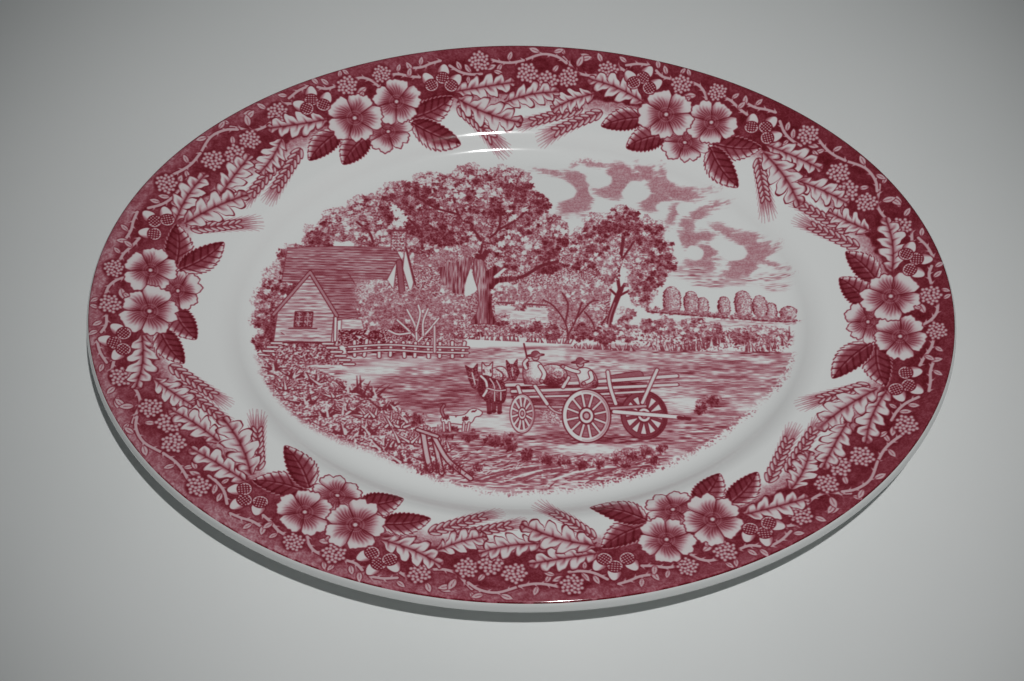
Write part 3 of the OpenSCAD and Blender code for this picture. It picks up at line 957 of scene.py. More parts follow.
def draw_bank(plate):
    """The near bank: a path, rough ground, tufts of grass and a broken fence."""
    random = plate.random
    for x, y, a, b, tone in BANK_PATCHES:
        patch(plate, x, y, a, b, tone, plate.ripple, 0.45)
    for x, y, a, b in ((-46, -19, 10, 1.5), (-53, -22, 9, 2), (-58, -26, 8, 2.2), (-36, -17.6, 6, 1)):
        patch(plate, x, y, a, b, 0.06, plate.ripple, 0.6)
    fill(plate, rounded(BANK), 0.42, plate.leaf, crispness=0.9)
    for _ in range(GROUND_STROKES):
        share = random.random()
        x, y = -92 + 64 * share + 5 * random.normal(), -21 - 36 * share + 5 * random.normal()
        tone = 0.85 if random.random() < 0.5 else 0.05
        plate.stroke(x, y, random.normal(-0.1, 0.4), 1.0 + 2.0 * random.random(), 0.4, tone, 0.8)
    for x, y, reach, dark in WEEDS:
        weed(plate, x, y, reach, dark)
    for k in range(RUTS):
        x0, y0 = -22 + 4.2 * k, -66.5 + 0.18 * k
        rut = [(x0, y0), (x0 + 9, y0 + 3.4), (x0 + 19, y0 + 5.6 - 0.1 * k), (x0 + 30, y0 + 6.6 - 0.24 * k)]
        plate.line(rounded(rut), 0.35 + 0.3 * (k % 3), 0.06 if k % 4 == 0 else 0.7)
    for _ in range(PATH_STROKES):
        x = -34 + 84 * random.random()
        y = -53.5 - 13 * random.random() * (1 - ((x - 8) / 46) ** 2) - 2 * (abs(x - 22) < 20)
        tone = 0.85 if random.random() < 0.5 else 0.06
        plate.stroke(x, y, 0.25 + random.normal(0, 0.25), 1.2 + 2.4 * random.random(), 0.4, tone, 0.8)
    leafy(plate, TUFTS, 260, 0.95, 0.12, 1.0, 0.5)
    for x, y, _ in TUFTS:
        tuft(plate, x, y - 1, 2.2, 12, 1.0)
    for x, y in ((-36, -42), (-26, -46), (-18, -48), (-8, -50), (-4, -49), (68, -33), (64, -36)):
        leafy(plate, [(x, y, 2.6)], 9, 1.0, 0.3, 1.0, 0.7)
    broken_fence = [
        ([(-34, -47), (-32.6, -55), (-31, -62)], 1.5), ([(-30.4, -48), (-27, -63)], 1.2),
        ([(-30, -49), (-25, -58), (-17, -65)], 1.3), ([(-36, -46), (-29, -48.6)], 1.0),
    ]
    for points, width in broken_fence:
        plate.line(rounded(points), width, 0.22, edge_tone=1.0, edge=0.45)
    for _ in range(LOW_TUFTS):
        tuft(plate, -36 + 22 * random.random(), -60 - 4 * random.random(), 2.6, 3, 0.95)


SPOKES = 12


def wheel(plate, x, y, half_width, half_height, rim_tone, gap_tone, spoke_tone=0.1):
    """A spoked cart wheel seen a little from the side."""
    at, u, v = plate.local(x, y, 0, half_height * 1.1)
    q = np.hypot(u / half_width, v / half_height)
    plate.lay(at, inside((1.04 - q) * half_width), 1.0)
    plate.lay(at, inside((0.80 - q) * half_width), gap_tone - 0.25 * plate.ripple[at] * (gap_tone > 0.5))
    for k in range(SPOKES):
        turn = TURN * k / SPOKES + 0.2
        tip = (x + 0.84 * half_width * math.cos(turn), y + 0.84 * half_height * math.sin(turn))
        board(plate, [(x, y), tip], 0.85, spoke_tone)
    tread = 0.55 * bell((q - 0.93) / 0.018) * (u > -0.2 * half_width) + 0.3 * fade(u, half_width, 0)
    felloe = inside(np.minimum(q - 0.83, 0.99 - q) * half_width)
    plate.lay(at, felloe, np.clip(rim_tone + tread * 0.6, 0, 1))
    for size, tone in ((0.34, 1.0), (0.28, 0.06), (0.17, 0.9), (0.11, 0.3)):
        plate.lay(at, inside((size - q) * half_width), tone)


def board(plate, points, width, tone):
    """A board or pole with dark edges."""
    plate.line(points, width, tone, edge_tone=1.0, edge=0.25)


def draw_cart(plate):
    """A long open cart with a round bundle on it."""
    patch(plate, 24, -49, 27, 2.0, 0.72, plate.ripple, 0.5)
    bed = [(-4, -28), (45, -25), (46, -33), (43, -38), (30, -39), (8, -38), (-3, -34)]
    fill(plate, bed, 0.72, plate.ripple, crispness=0.9)
    patch(plate, 13, -39, 6, 4, 0.3, plate.fine, 0.5)
    wheel(plate, 43.5, -39, 8, 9.6, 0.78, 0.10, 0.8)
    board(plate, [(32, -24.6), (42, -22.6)], 3.0, 0.62)
    side_rails = [
        ([(-5, -27.4), (20, -26.2), (55.5, -22.8)], 1.4), ([(-3, -30), (20, -28.8), (55.5, -26.4)], 1.2),
        ([(-2, -32.4), (20, -31.4), (44, -29.4)], 0.9),
    ]
    for points, width in side_rails:
        board(plate, points, width, 0.12)
    board(plate, [(4, -36), (30, -36.6), (44, -35.4)], 1.0, 0.3)
    board(plate, rounded([(8, -33), (12, -38), (18, -39)]), 0.7, 0.2)
    board(plate, [(33, -37.8), (57, -39.8)], 1.5, 0.06)
    plate.line([(55.6, -39.8), (59.4, -40.4)], 1.3, 1.0)
    uprights = [
        [(5, -27.6), (9.4, -35)], [(31, -21.4), (31.8, -28), (33.6, -34.6)], [(48.6, -20.4), (43, -34)],
        [(17, -24), (15, -28)], [(-1, -28), (0.6, -33)],
    ]
    for points in uprights:
        board(plate, rounded(points), 1.2, 0.1)
    at, u, v = plate.local(11.2, -23.0, 0, 6.4)
    sack = 4.7 - np.hypot(u * 0.92, v * 1.1)
    fold = bell((np.hypot(u - 2, v - 0.6) - 1.7) / 0.3)
    tone = 0.62 - 0.12 * v - 0.35 * fold - 0.1 * (u > 1)
    plate.outlined(at, sack, 0.3, 1.0, marks(tone, plate.fine[at], 0.6))
    wheel(plate, 23.2, -39.6, 8.4, 10.6, 0.05, 0.72)
    wheel(plate, 0.6, -39, 4.3, 7.8, 0.08, 0.6)


def carter(plate, torso, arms, head, turned):
    """A carter in a shirt and hat, too small to have a face; turned shades the shirt."""
    x0, x1 = min(p[0] for p in torso), max(p[0] for p in torso)
    y0 = min(p[1] for p in torso)

    def shirt(X, Y):
        side = turned * ((X - x0) / (x1 - x0) - 0.5) + 0.1
        return 0.04 + 0.5 * ease(side) + 0.45 * fade(Y, y0 + 0.5, y0 + 3.5)

    fill(plate, rounded(torso + torso[:1]), shirt, plate.fine, 1.0, 0.25, 0.5)
    x, y = head
    at, u, v = plate.local(x, y, 0, 3.2)
    plate.outlined(at, 1.15 - np.hypot(u, v / 1.2), 0.28, 1.0, 0.3)
    hat = np.maximum(1.35 - np.hypot(u, (v - 1.2) / 0.95), 0.42 - np.hypot(u / 5.4, v - 0.75 - 0.1 * u))
    plate.outlined(at, hat, 0.25, 1.0, 0.7 - 0.35 * (u - v > -0.4))
    for arm in arms:
        plate.line(rounded(arm), 1.35, 0.06, edge_tone=1.0, edge=0.26)
        plate.line([arm[-1], arm[-1]], 1.2, 0.35, edge_tone=1.0, edge=0.2)


def draw_carters(plate):
    """The driver, from behind, with a whip, and a second carter reaching over the load."""
    driver = [
        (1.4, -26.8), (0.8, -22.5), (1.2, -19), (3, -17.6), (6, -17.6), (7.6, -19.4), (8, -23), (7.4, -26.6),
    ]
    carter(plate, driver, [[(6.9, -19.4), (8.4, -22.6), (7.4, -25.6)]], (5.2, -15.6), -1.5)
    plate.line([(1.0, -10), (1.8, -14), (2.6, -19.4)], 0.55, 0.95)
    board(plate, rounded([(1.9, -20.4), (1.2, -18.4), (2.2, -16.8)]), 1.1, 0.08)
    second = [
        (21.2, -28), (20.6, -24.4), (19.6, -21.6), (21, -20.2), (23.6, -20), (25.8, -21.6), (27.2, -25),
        (26.6, -28),
    ]
    arms = [[(20.4, -21.6), (17.8, -20.8), (15, -19.4)], [(24.8, -21.8), (25.2, -24.6), (22.4, -26.4)]]
    carter(plate, second, arms, (21.2, -18.2), 1.6)


def draw_team(plate):
    """Three harnessed horses ahead of the cart, seen from the front quarter."""
    for x, y, foot_x, foot_y in ((-12, -32, -11, -38.8), (-9.8, -32, -9.4, -38.2), (-8, -32, -7.4, -38.6)):
        leg = [(x, y), ((x + foot_x) / 2 + 0.3, -35.4), (foot_x, foot_y)]
        plate.line(leg, 1.1, 0.85, edge_tone=1.0, edge=0.2)
        plate.line([(foot_x - 0.3, foot_y), (foot_x + 0.4, foot_y)], 1.1, 1.05)
    third = [
        (-5, -19.6), (-5.2, -17.2), (-4, -18.9), (-2.6, -18.9), (-1.4, -16.8), (-1.5, -19.4), (-0.6, -22),
        (-2, -25.6), (-3.6, -25.4), (-4.4, -22.6),
    ]
    fill(plate, third, 0.80, plate.fine, 1.0, 0.22)
    plate.line([(-3.2, -20.2), (-2.8, -23.6)], 0.45, 0.15)
    back = [(-10, -20.6), (-7, -19.8), (-5, -21.6), (-4.6, -25), (-8, -26.2), (-11.6, -24.8), (-10, -20.6)]
    fill(plate, rounded(back), lambda X, Y: 0.10 + 0.5 * fade(Y, -26, -22), plate.fine, 1.0, 0.28)
    plate.line(rounded([(-8.8, -20.8), (-6.4, -22.8), (-6.8, -26)]), 0.5, 0.9)
    second = [
        (-13.8, -20.4), (-13.8, -18.2), (-12.7, -19.7), (-11.4, -19.6), (-10.2, -18), (-10.4, -20.4),
        (-10.2, -23), (-11.2, -26.4), (-12.6, -26.4), (-13.6, -23.4),
    ]
    fill(plate, second, 0.10, plate.fine, 1.0, 0.28)
    for x in (-13.3, -10.9):
        plate.line([(x, -21.2), (x + 0.2, -22.2)], 0.55, 0.9)
    plate.line([(-12.5, -24.8), (-11.3, -24.8)], 0.5, 0.75)
    body = [
        (-15.4, -24.2), (-12.6, -23.6), (-9.4, -25), (-5.8, -26.8), (-5.2, -30), (-6, -34.4), (-9, -35),
        (-12.2, -34), (-14.4, -31.4), (-15.6, -28), (-15.4, -24.2),
    ]

    def chest(X, Y):
        return 0.98 - 0.5 * np.exp(-((X + 9.4) / 2.2) ** 2 - ((Y + 30) / 3) ** 2)

    fill(plate, rounded(body), chest, plate.fine, 1.0, 0.2, 0.6)
    harness = [
        ([(-14.2, -23.8), (-12.4, -26), (-12, -29.4), (-13.2, -32)], 0.9),
        ([(-11, -24.8), (-9.4, -28), (-9.2, -34)], 0.5), ([(-8.6, -25.6), (-7.2, -29), (-7, -33.6)], 0.5),
        ([(-12, -28.8), (-8, -29.8), (-5.4, -29.4)], 0.55),
    ]
    for points, width in harness:
        plate.line(rounded(points), width, 0.06, edge_tone=1.0, edge=0.18)
    first = [
        (-19, -22), (-19.8, -19.6), (-18, -20.9), (-16.9, -20.8), (-15.6, -18.9), (-15.7, -21.6),
        (-14.9, -24.6), (-14.8, -28), (-15.8, -29.2), (-17, -28.6), (-18.4, -25.2),
    ]
    fill(plate, first, 0.85, plate.fine, 0.98, 0.25, 0.7)
    plate.line([(-17.4, -22.4), (-16.2, -27.2)], 0.55, 0.1)
    plate.line([(-18.7, -24.4), (-15.2, -25.6)], 0.35, 0.15)


def draw_dog(plate):
    """A small white dog with dark patches, looking at the team."""
    body = [
        (-26.6, -40), (-22, -40.2), (-19.4, -39.6), (-17.6, -37.6), (-15.4, -37.4), (-13.6, -38.6),
        (-14.2, -40), (-16, -40.6), (-17.2, -42.8), (-20, -43.6), (-24, -43.2), (-26.8, -43.6),
        (-27.8, -41.6), (-26.6, -40),
    ]
    fill(plate, rounded(body), 0.04, outline=0.95, width=0.25)
    for x, y, r in ((-26, -41, 1.2), (-19.2, -41.2, 1.1), (-16.4, -38.2, 0.7), (-22.6, -40.6, 0.5)):
        at, u, v = plate.local(x, y, 0.4, 2.4)
        plate.lay(at, inside(r - np.hypot(u, v * 1.3) + 0.8 * (plate.leaf[at] - 0.5)), 0.9)
    for x, lean in ((-27, 0.3), (-25, 0.4), (-19.8, -0.2), (-18, -0.5)):
        plate.line([(x, -43), (x + lean, -46.4)], 0.6, 0.1, edge_tone=0.9, edge=0.22)
    plate.line(rounded([(-27, -40.4), (-27.8, -38), (-27, -36)]), 0.7, 0.5, edge_tone=1.0)
    patch(plate, -20, -47.2, 11, 0.9, 0.6, plate.ripple, 0.6)


def draw_scene(plate):
    """The whole picture, on a plate of its own, faded into a ragged edge."""
    draw_sky(plate)
    draw_far_trees(plate)
    draw_field(plate)
    draw_thickets(plate)
    leafy(plate, LEFT_TREES, 170, 1.5, 0.1, 0.95, 0.55)
    fill(plate, UNDER_TREES, 0.40, plate.fine)
    leafy(plate, OAK_CROWN, 760, 1.6, 0.16, 0.98, 0.55)
    leafy(plate, SECOND_CROWN, 170, 1.2, 0.05, 0.75, 0.3)
    draw_trunks(plate)
    upper_crown = [circle for circle in OAK_CROWN if circle[1] > 29]
    leafy(plate, upper_crown, 760, 1.25, 0.10, 0.98, 0.55)
    leafy(plate, SECOND_CROWN[:10], 330, 1.15, 0.0, 0.98, 0.3)
    for bough in BOUGHS:
        plate.line(rounded(bough), 0.9, 0.95)
    leafy(plate, upper_crown, 150, 1.3, 0.05, 0.98, None)
    leafy(plate, SECOND_GAPS, 80, 1.0, 0.0, 0.75, 0.2)
    draw_middle(plate)
    draw_cottage(plate)
    draw_garden(plate)
    draw_bank(plate)
    draw_team(plate)
    draw_cart(plate)
    draw_carters(plate)
    draw_dog(plate)
    at, _, _, depth = plate.area(rounded(VIGNETTE))
    frayed = depth + 3.2 * (plate.leaf[at] - 0.5) + 1.5 * (plate.cloud[at] - 0.5)
    picture = 0.92 * np.clip(plate.ink[at], 0, 1.1) ** SCENE_CONTRAST * ease(frayed / 1.6)
    plate.ink[:] = 0
    plate.ink[at] = picture


# ---- The platter's cross-section ----------------------------------------------------
# The same section as the CAD model's, as points of [reach, height], where reach is the
# distance from the middle along the platter's length.

PLATTER_LENGTH, PLATTER_WIDTH, PLATTER_HEIGHT = [(high - low) / MM for low, high in zip(*cad_box)]
HALF_LENGTH = PLATTER_LENGTH / 2
NARROWING = PLATTER_WIDTH / PLATTER_LENGTH

FLOOR_HEIGHT = 7.2
FLOOR_REACH = 91
SHOULDER_REACH = 103
# The shoulder's height, as a share of the way from the floor up to the verge.
SHOULDER_RISE = 0.46
# The verge is where the shoulder meets the straight rim.
VERGE_REACH = 111
RIM_ANGLE = 11
RIM_THICKNESS = 5
LIP_THICKNESS = 6.6
LIP_DEPTH = 2.6
LIP_SQUARENESS = 2.8
# Where the print ends on the lip, as an angle from 90 on top to -90 underneath.
PRINT_EDGE = 45
FOOT_REACH = 97
FOOT_WIDTH = 3.6
FOOT_EDGE_HEIGHT = 0.6
FOOT_CHAMFER = 0.4
# How far the foot ring's outer root stands out from its standing edge and above the base.
FOOT_ROOT_REACH = 2.2
FOOT_ROOT_RISE = 0.9
BASE_HEIGHT = 2
BASE_CORNER_WIDTH = 2.4
GLAZE_THICKNESS = 0.4
# Turn of each border section that lies across an end of the platter.
END_SECTION_ANGLE = 68


def unit(v):
    """The same direction, one long."""
    v = np.asarray(v, float)
    return v / np.hypot(*v)


def curve(p, q, r, s, steps=24):
    """Points of a cubic curve from p to s with handles q and r, leaving out p itself."""
    t = np.arange(1, steps + 1)[:, None] / steps
    u = 1 - t
    return list(u ** 3 * p + 3 * u * u * t * q + 3 * u * t * t * r + t ** 3 * s)


RIM_SLOPE = np.array([math.cos(math.radians(RIM_ANGLE)), math.sin(math.radians(RIM_ANGLE))])
RIM_NORMAL = np.array([-RIM_SLOPE[1], RIM_SLOPE[0]])
LEVEL = np.array([1.0, 0.0])
DOWN = np.array([0.0, -1.0])


def lip_offset(degrees):
    """A point of the lip's squared round, from its middle."""
    def squared(v):
        return math.copysign(abs(v) ** (2 / LIP_SQUARENESS), v)
    a = math.radians(degrees)
    return (LIP_DEPTH * squared(math.cos(a)) * RIM_SLOPE
            + LIP_THICKNESS / 2 * squared(math.sin(a)) * RIM_NORMAL)


def lip_direction(degrees):
    """The lip's direction there, going outwards and down."""
    return unit(lip_offset(degrees - 1) - lip_offset(degrees + 1))


WHOLE_LIP = np.array([lip_offset(a) for a in range(90, -91, -1)])
LIP_MIDDLE = np.array([HALF_LENGTH, PLATTER_HEIGHT]) - WHOLE_LIP.max(0)


def lip(start, end, steps):
    """Points of the lip from one angle to another."""
    return [LIP_MIDDLE + lip_offset(a) for a in np.linspace(start, end, steps + 1)]


def under_the_glaze(points, first, last):
    """The same line, moved into the clay by the glaze's thickness."""
    steps = np.diff(points, axis=0)
    steps = steps / np.hypot(steps[:, 0], steps[:, 1])[:, None]
    along = np.vstack([first, steps]) + np.vstack([steps, last])
    along = along / np.hypot(along[:, 0], along[:, 1])[:, None]
    return np.asarray(points) + GLAZE_THICKNESS * np.column_stack([along[:, 1], -along[:, 0]])


lip_start = LIP_MIDDLE + lip_offset(90)
verge = lip_start - (lip_start[0] - VERGE_REACH) / RIM_SLOPE[0] * RIM_SLOPE
floor_edge = np.array([FLOOR_REACH, FLOOR_HEIGHT])
shoulder = np.array([SHOULDER_REACH, FLOOR_HEIGHT + SHOULDER_RISE * (verge[1] - FLOOR_HEIGHT)])
shoulder_slope = unit([6, 4.2])

# Upper face, from the middle outwards.
well_line = [floor_edge] + curve(floor_edge, floor_edge + 5 * LEVEL, shoulder - 4 * shoulder_slope, shoulder)
rim_line = ([shoulder] + curve(shoulder, shoulder + 4 * shoulder_slope, verge - 2 * RIM_SLOPE, verge)
            + lip(90, PRINT_EDGE, 16))
lip_line = lip(PRINT_EDGE, -90, 40)

# Underside, from the lip inwards to the foot ring, and the recessed base inside it.
under_verge = verge - RIM_THICKNESS * RIM_NORMAL
under_slope = unit(lip_line[-1] - under_verge)
foot_top = np.array([FOOT_REACH + FOOT_ROOT_REACH, BASE_HEIGHT + FOOT_ROOT_RISE])
foot_slope = unit([3, 1])
foot_corner = np.array([FOOT_REACH, FOOT_EDGE_HEIGHT])
underside_line = ([lip_line[-1], under_verge]
                  + curve(under_verge, under_verge - 4 * under_slope, foot_top + 4 * foot_slope, foot_top)
                  + curve(foot_top, foot_top - 1.6 * foot_slope, foot_corner - 1.4 * DOWN, foot_corner, 12))
base_corner = np.array([FOOT_REACH - FOOT_WIDTH, FOOT_EDGE_HEIGHT])
base_edge = np.array([base_corner[0] - BASE_CORNER_WIDTH, BASE_HEIGHT])
base_line = ([base_corner]
             + curve(base_corner, base_corner - 0.9 * DOWN, base_edge + 1.4 * LEVEL, base_edge, 12))

# The clay's own faces, one glaze thickness under those lines.
print_edge_slope = lip_direction(PRINT_EDGE)
well_clay = under_the_glaze(well_line, LEVEL, shoulder_slope)
rim_clay = under_the_glaze(rim_line, shoulder_slope, print_edge_slope)
lip_clay = under_the_glaze(lip_line, print_edge_slope, -under_slope)
underside_clay = under_the_glaze(underside_line, -under_slope, DOWN)
base_clay = under_the_glaze(base_line, -DOWN, -LEVEL)
standing_face = np.array([[underside_clay[-1][0] - FOOT_CHAMFER, 0], [base_clay[0][0] + FOOT_CHAMFER, 0]])


def evenly(line, spacing):
    """Points along a line, about this far apart."""
    line = np.asarray(line, float)
    run = np.concatenate([[0], np.cumsum(np.hypot(*np.diff(line, axis=0).T))])
    at = np.linspace(0, run[-1], max(2, round(run[-1] / spacing) + 1))
    return np.column_stack([np.interp(at, run, line[:, 0]), np.interp(at, run, line[:, 1])])


# ---- Meshes -------------------------------------------------------------------------

PRINT_SPACING = 0.27
RIM_STEPS = 2880
ROUND_STEPS = 720
WELL_RINGS = 372


def oval(section, turn):
    """Points of the platter, in millimetres, with section and turn broadcast together."""
    reach, height, turn = np.broadcast_arrays(section[..., 0], section[..., 1], turn)
    return np.stack([reach * np.cos(turn), reach * np.sin(turn) * NARROWING, height], -1)


def oval_normals(normals, turn):
    """The platter's normals from those of the section, which are [outwards, up]."""
    out, up, turn = np.broadcast_arrays(normals[..., 0], normals[..., 1], turn)
    n = np.stack([out * np.cos(turn), out * np.sin(turn) / NARROWING, up], -1)
    return n / np.linalg.norm(n, axis=-1, keepdims=True)


def line_normals(line):
    """Normals of a line that has the solid on its right."""
    steps = np.gradient(np.asarray(line, float), axis=0)
    steps = steps / np.hypot(steps[:, 0], steps[:, 1])[:, None]
    return np.column_stack([-steps[:, 1], steps[:, 0]])


def section_of(*lines):
    """Lines joined into one section, with their normals."""
    return np.vstack(lines), np.vstack([line_normals(line) for line in lines])


def make_mesh(name, points, normals, faces, ink=None):
    """A mesh object from points in millimetres and arrays of faces."""
    mesh = bpy.data.meshes.new(name)
    faces = [np.atleast_2d(f) for f in faces]
    corners = np.concatenate([f.ravel() for f in faces]).astype(np.int32)
    sizes = np.concatenate([np.full(len(f), f.shape[1]) for f in faces])
    starts = np.concatenate([[0], np.cumsum(sizes)[:-1]]).astype(np.int32)
    mesh.vertices.add(len(points))
    mesh.vertices.foreach_set("co", (points * MM).astype(np.float32).ravel())
    mesh.loops.add(len(corners))
    mesh.loops.foreach_set("vertex_index", corners)
    mesh.polygons.add(len(starts))
    mesh.polygons.foreach_set("loop_start", starts)
    mesh.polygons.foreach_set("use_smooth", np.ones(len(starts), bool))
    if ink is not None:
        attribute = mesh.attributes.new("ink", "FLOAT", "POINT")
        attribute.data.foreach_set("value", ink.astype(np.float32))
    mesh.update(calc_edges=True)
    mesh.normals_split_custom_set_from_vertices(normals.astype(np.float32))
    piece = bpy.data.objects.new(name, mesh)
    bpy.context.scene.collection.objects.link(piece)
    return piece


def strip(first_ring, second_ring, whole):
    """Quads between two rings of point numbers, or between two rows of rings."""
    if whole:
        return np.stack([first_ring, second_ring, np.roll(second_ring, -1, -1),
                         np.roll(first_ring, -1, -1)], -1).reshape(-1, 4)
    return np.stack([first_ring[..., :-1], second_ring[..., :-1], second_ring[..., 1:],
                     first_ring[..., 1:]], -1).reshape(-1, 4)


def turned(name, section, start=0, sweep=360, steps=ROUND_STEPS, looped=True, ink_at=None):
    """A solid turned from a section, which is a loop, or else starts and ends on flat faces."""
    line, normals = section
    whole = sweep == 360
    turn = np.radians(start + sweep * np.arange(steps if whole else steps + 1) / steps)
    points = oval(line[:, None], turn).reshape(-1, 3)
    rings = np.arange(len(points)).reshape(len(line), len(turn))
    faces = [strip(rings[:-1], rings[1:], whole)]
    if looped:
        faces.append(strip(rings[-1], rings[0], whole))
        if not whole:
            faces += [rings[:, 0], rings[::-1, -1]]
    else:
        faces += [rings[0], rings[-1, ::-1]]
    ink = None if ink_at is None else ink_at(points)
    return make_mesh(name, points, oval_normals(normals[:, None], turn).reshape(-1, 3), faces, ink)


def well_quarter(name, quarter, line, under, ink_at):
    """A quarter of the well: a fine even grid on top, and a plain face underneath."""
    line, under = np.asarray(line), np.asarray(under)
    step = np.arange(WELL_RINGS + 1) / WELL_RINGS
    along, across = np.meshgrid(step, step)
    share = np.maximum(along, across)
    lesser = np.minimum(along, across) / np.maximum(share, 1e-9)
    turn = np.where(along >= across, lesser, 2 - lesser) * TURN / 8 + quarter * TURN / 4
    reach = share * line[-1, 0]
    slopes = line_normals(line)
    top = np.stack([reach, np.interp(reach, line[:, 0], line[:, 1])], -1)
    top_normals = np.stack([np.interp(reach, line[:, 0], slopes[:, k], left=k) for k in (0, 1)], -1)
    grid = np.arange(top[..., 0].size).reshape(reach.shape)
    edge_turn = np.concatenate([turn[:, -1], turn[-1, -2::-1]])
    edge = np.concatenate([grid[:, -1], grid[-1, -2::-1]])
    below = np.arange(len(under) * len(edge)).reshape(len(under), -1) + grid.size
    middle = grid.size + below.size
    points = np.vstack([
        oval(top, turn).reshape(-1, 3), oval(under[::-1, None], edge_turn).reshape(-1, 3),
        [[0, 0, under[0, 1]]],
    ])
    normals = np.vstack([
        oval_normals(top_normals, turn).reshape(-1, 3),
        oval_normals(-line_normals(under)[::-1, None], edge_turn).reshape(-1, 3), [[0, 0, -1]],
    ])
    faces = [
        np.stack([grid[:-1, :-1], grid[:-1, 1:], grid[1:, 1:], grid[1:, :-1]], -1).reshape(-1, 4),
        strip(edge, below[0], False), strip(below[:-1], below[1:], False),
        np.append(below[-1, ::-1], middle),
        np.concatenate([[middle], below[::-1, 0], grid[0, ::-1]]),
        np.concatenate([grid[:, 0], below[:, -1], [middle]]),
    ]
    return make_mesh(name, points, normals, faces, ink_at(points))


# ---- Materials ----------------------------------------------------------------------

CHINA_WHITE = (0.835, 0.850, 0.838)
# How strongly a full tone of the crimson ink takes up red, green and blue.
INK_ABSORPTION = (1.52, 3.95, 3.42)
INK_FULL = 1.25
RAMP_STOPS = 9


class Nodes:
    """A material's node tree, with short calls to add and join nodes."""

    def __init__(self, name):
        self.material = bpy.data.materials.new(name)
        self.material.use_nodes = True
        self.tree = self.material.node_tree
        self.tree.nodes.clear()
        self.place = self.add("ShaderNodeTexCoord").outputs["Object"]

    def add(self, kind, **settings):
        node = self.tree.nodes.new(kind)
        for key, value in settings.items():
            setattr(node, key, value)
        return node

    def join(self, source, target):
        self.tree.links.new(source, target)

    def noise(self, size_mm, detail=3.0, roughness=0.5):
        node = self.add("ShaderNodeTexNoise")
        self.join(self.place, node.inputs["Vector"])
        node.inputs["Scale"].default_value = 1 / (size_mm * MM)
        node.inputs["Detail"].default_value = detail
        node.inputs["Roughness"].default_value = roughness
        return node.outputs["Fac"]

    def math(self, operation, a, b):
        node = self.add("ShaderNodeMath", operation=operation)
        for socket, value in zip(node.inputs, (a, b)):
            if isinstance(value, (int, float)):
                socket.default_value = value
            else:
                self.join(value, socket)
        return node.outputs[0]

    def between(self, value, low, high):
        """A value from 0 to 1, spread from low to high."""
        return self.math("ADD", self.math("MULTIPLY", value, high - low), low)

    def ramp(self, value, stops):
        """A colour ramp from (place, colour) stops."""
        node = self.add("ShaderNodeValToRGB")
        elements = node.color_ramp.elements
        while len(elements) < len(stops):
            elements.new(0.5)
        for element, (place, colour) in zip(elements, stops):
            element.position = place
            element.color = (*colour, 1)
        self.join(value, node.inputs["Fac"])
        return node.outputs["Color"]

    def bump(self, height, depth_mm, below=None):
        node = self.add("ShaderNodeBump")
        node.inputs["Strength"].default_value = 1.0
        node.inputs["Distance"].default_value = depth_mm * MM
        self.join(height, node.inputs["Height"])
        if below is not None:
            self.join(below, node.inputs["Normal"])
        return node.outputs["Normal"]

    def finish(self, colour, roughness, normal, **values):
        shader = self.add("ShaderNodeBsdfPrincipled")
        self.join(colour, shader.inputs["Base Color"])
        self.join(roughness, shader.inputs["Roughness"])
        self.join(normal, shader.inputs["Normal"])
        for name, value in values.items():
            shader.inputs[name.replace("_", " ")].default_value = value
        self.join(shader.outputs["BSDF"], self.add("ShaderNodeOutputMaterial").inputs["Surface"])
        return self.material


def glaze_surface(n, below=None):
    """The glaze's own surface: slow undulations and a fine orange peel."""
    waves = n.bump(n.noise(16, 1.0), 0.05, below)
    peel = n.bump(n.noise(1.3, 2.0), 0.002, waves)
    return n.between(n.noise(9, 3.0), 0.05, 0.11), peel


def white_glaze():
    n = Nodes("white_glaze")
    cool = tuple(0.975 * c for c in CHINA_WHITE)
    warm = (CHINA_WHITE[0], CHINA_WHITE[1] * 0.995, CHINA_WHITE[2] * 0.99)
    colour = n.ramp(n.noise(22, 4.0), [(0.35, cool), (0.6, CHINA_WHITE), (0.8, warm)])
    return n.finish(colour, *glaze_surface(n), IOR=1.5)


def printed_glaze(name):
    """Crimson ink under the glaze, deeper in colour where the mesh holds more ink."""
    n = Nodes(name)
    ink = n.add("ShaderNodeAttribute", attribute_name="ink").outputs["Fac"]
    stipple = n.between(n.noise(0.32, 2.0, 0.6), 0.72, 1.28)
    cloudy = n.between(n.noise(6.0, 4.0), 0.88, 1.12)
    laid = n.math("MULTIPLY", n.math("MULTIPLY", ink, stipple), cloudy)
    level = n.math("DIVIDE", laid, INK_FULL)
    stops = []
    for place in np.linspace(0, 1, RAMP_STOPS):
        colour = [w * math.exp(-a * place * INK_FULL) for w, a in zip(CHINA_WHITE, INK_ABSORPTION)]
        stops.append((place, colour))
    raised = n.bump(ink, 0.006)
    return n.finish(n.ramp(level, stops), *glaze_surface(n, raised), IOR=1.5)


def bare_clay():
    n = Nodes("bare_clay")
    colours = [(0.3, (0.50, 0.45, 0.37)), (0.55, (0.66, 0.61, 0.52)), (0.8, (0.74, 0.70, 0.62))]
    colour = n.ramp(n.noise(1.4, 6.0, 0.65), colours)
    return n.finish(colour, n.between(n.noise(2.5), 0.7, 0.95), n.bump(n.noise(0.5, 4.0), 0.05), IOR=1.45)


def table_top():
    n = Nodes("table_top")
    colour = n.ramp(n.noise(120, 3.0), [(0.3, (0.76, 0.78, 0.77)), (0.7, (0.80, 0.815, 0.805))])
    return n.finish(colour, n.between(n.noise(8), 0.55, 0.65), n.bump(n.noise(0.8, 3.0), 0.01), IOR=1.4)


# ---- Stage: camera, light and table -------------------------------------------------

CAMERA_HEIGHT_ANGLE = 57.9
CAMERA_DISTANCE = 682
CAMERA_AIM = (-3.3, -4.2, 0)
CAMERA_ROLL = 0.67
CAMERA_LENS = 65.7

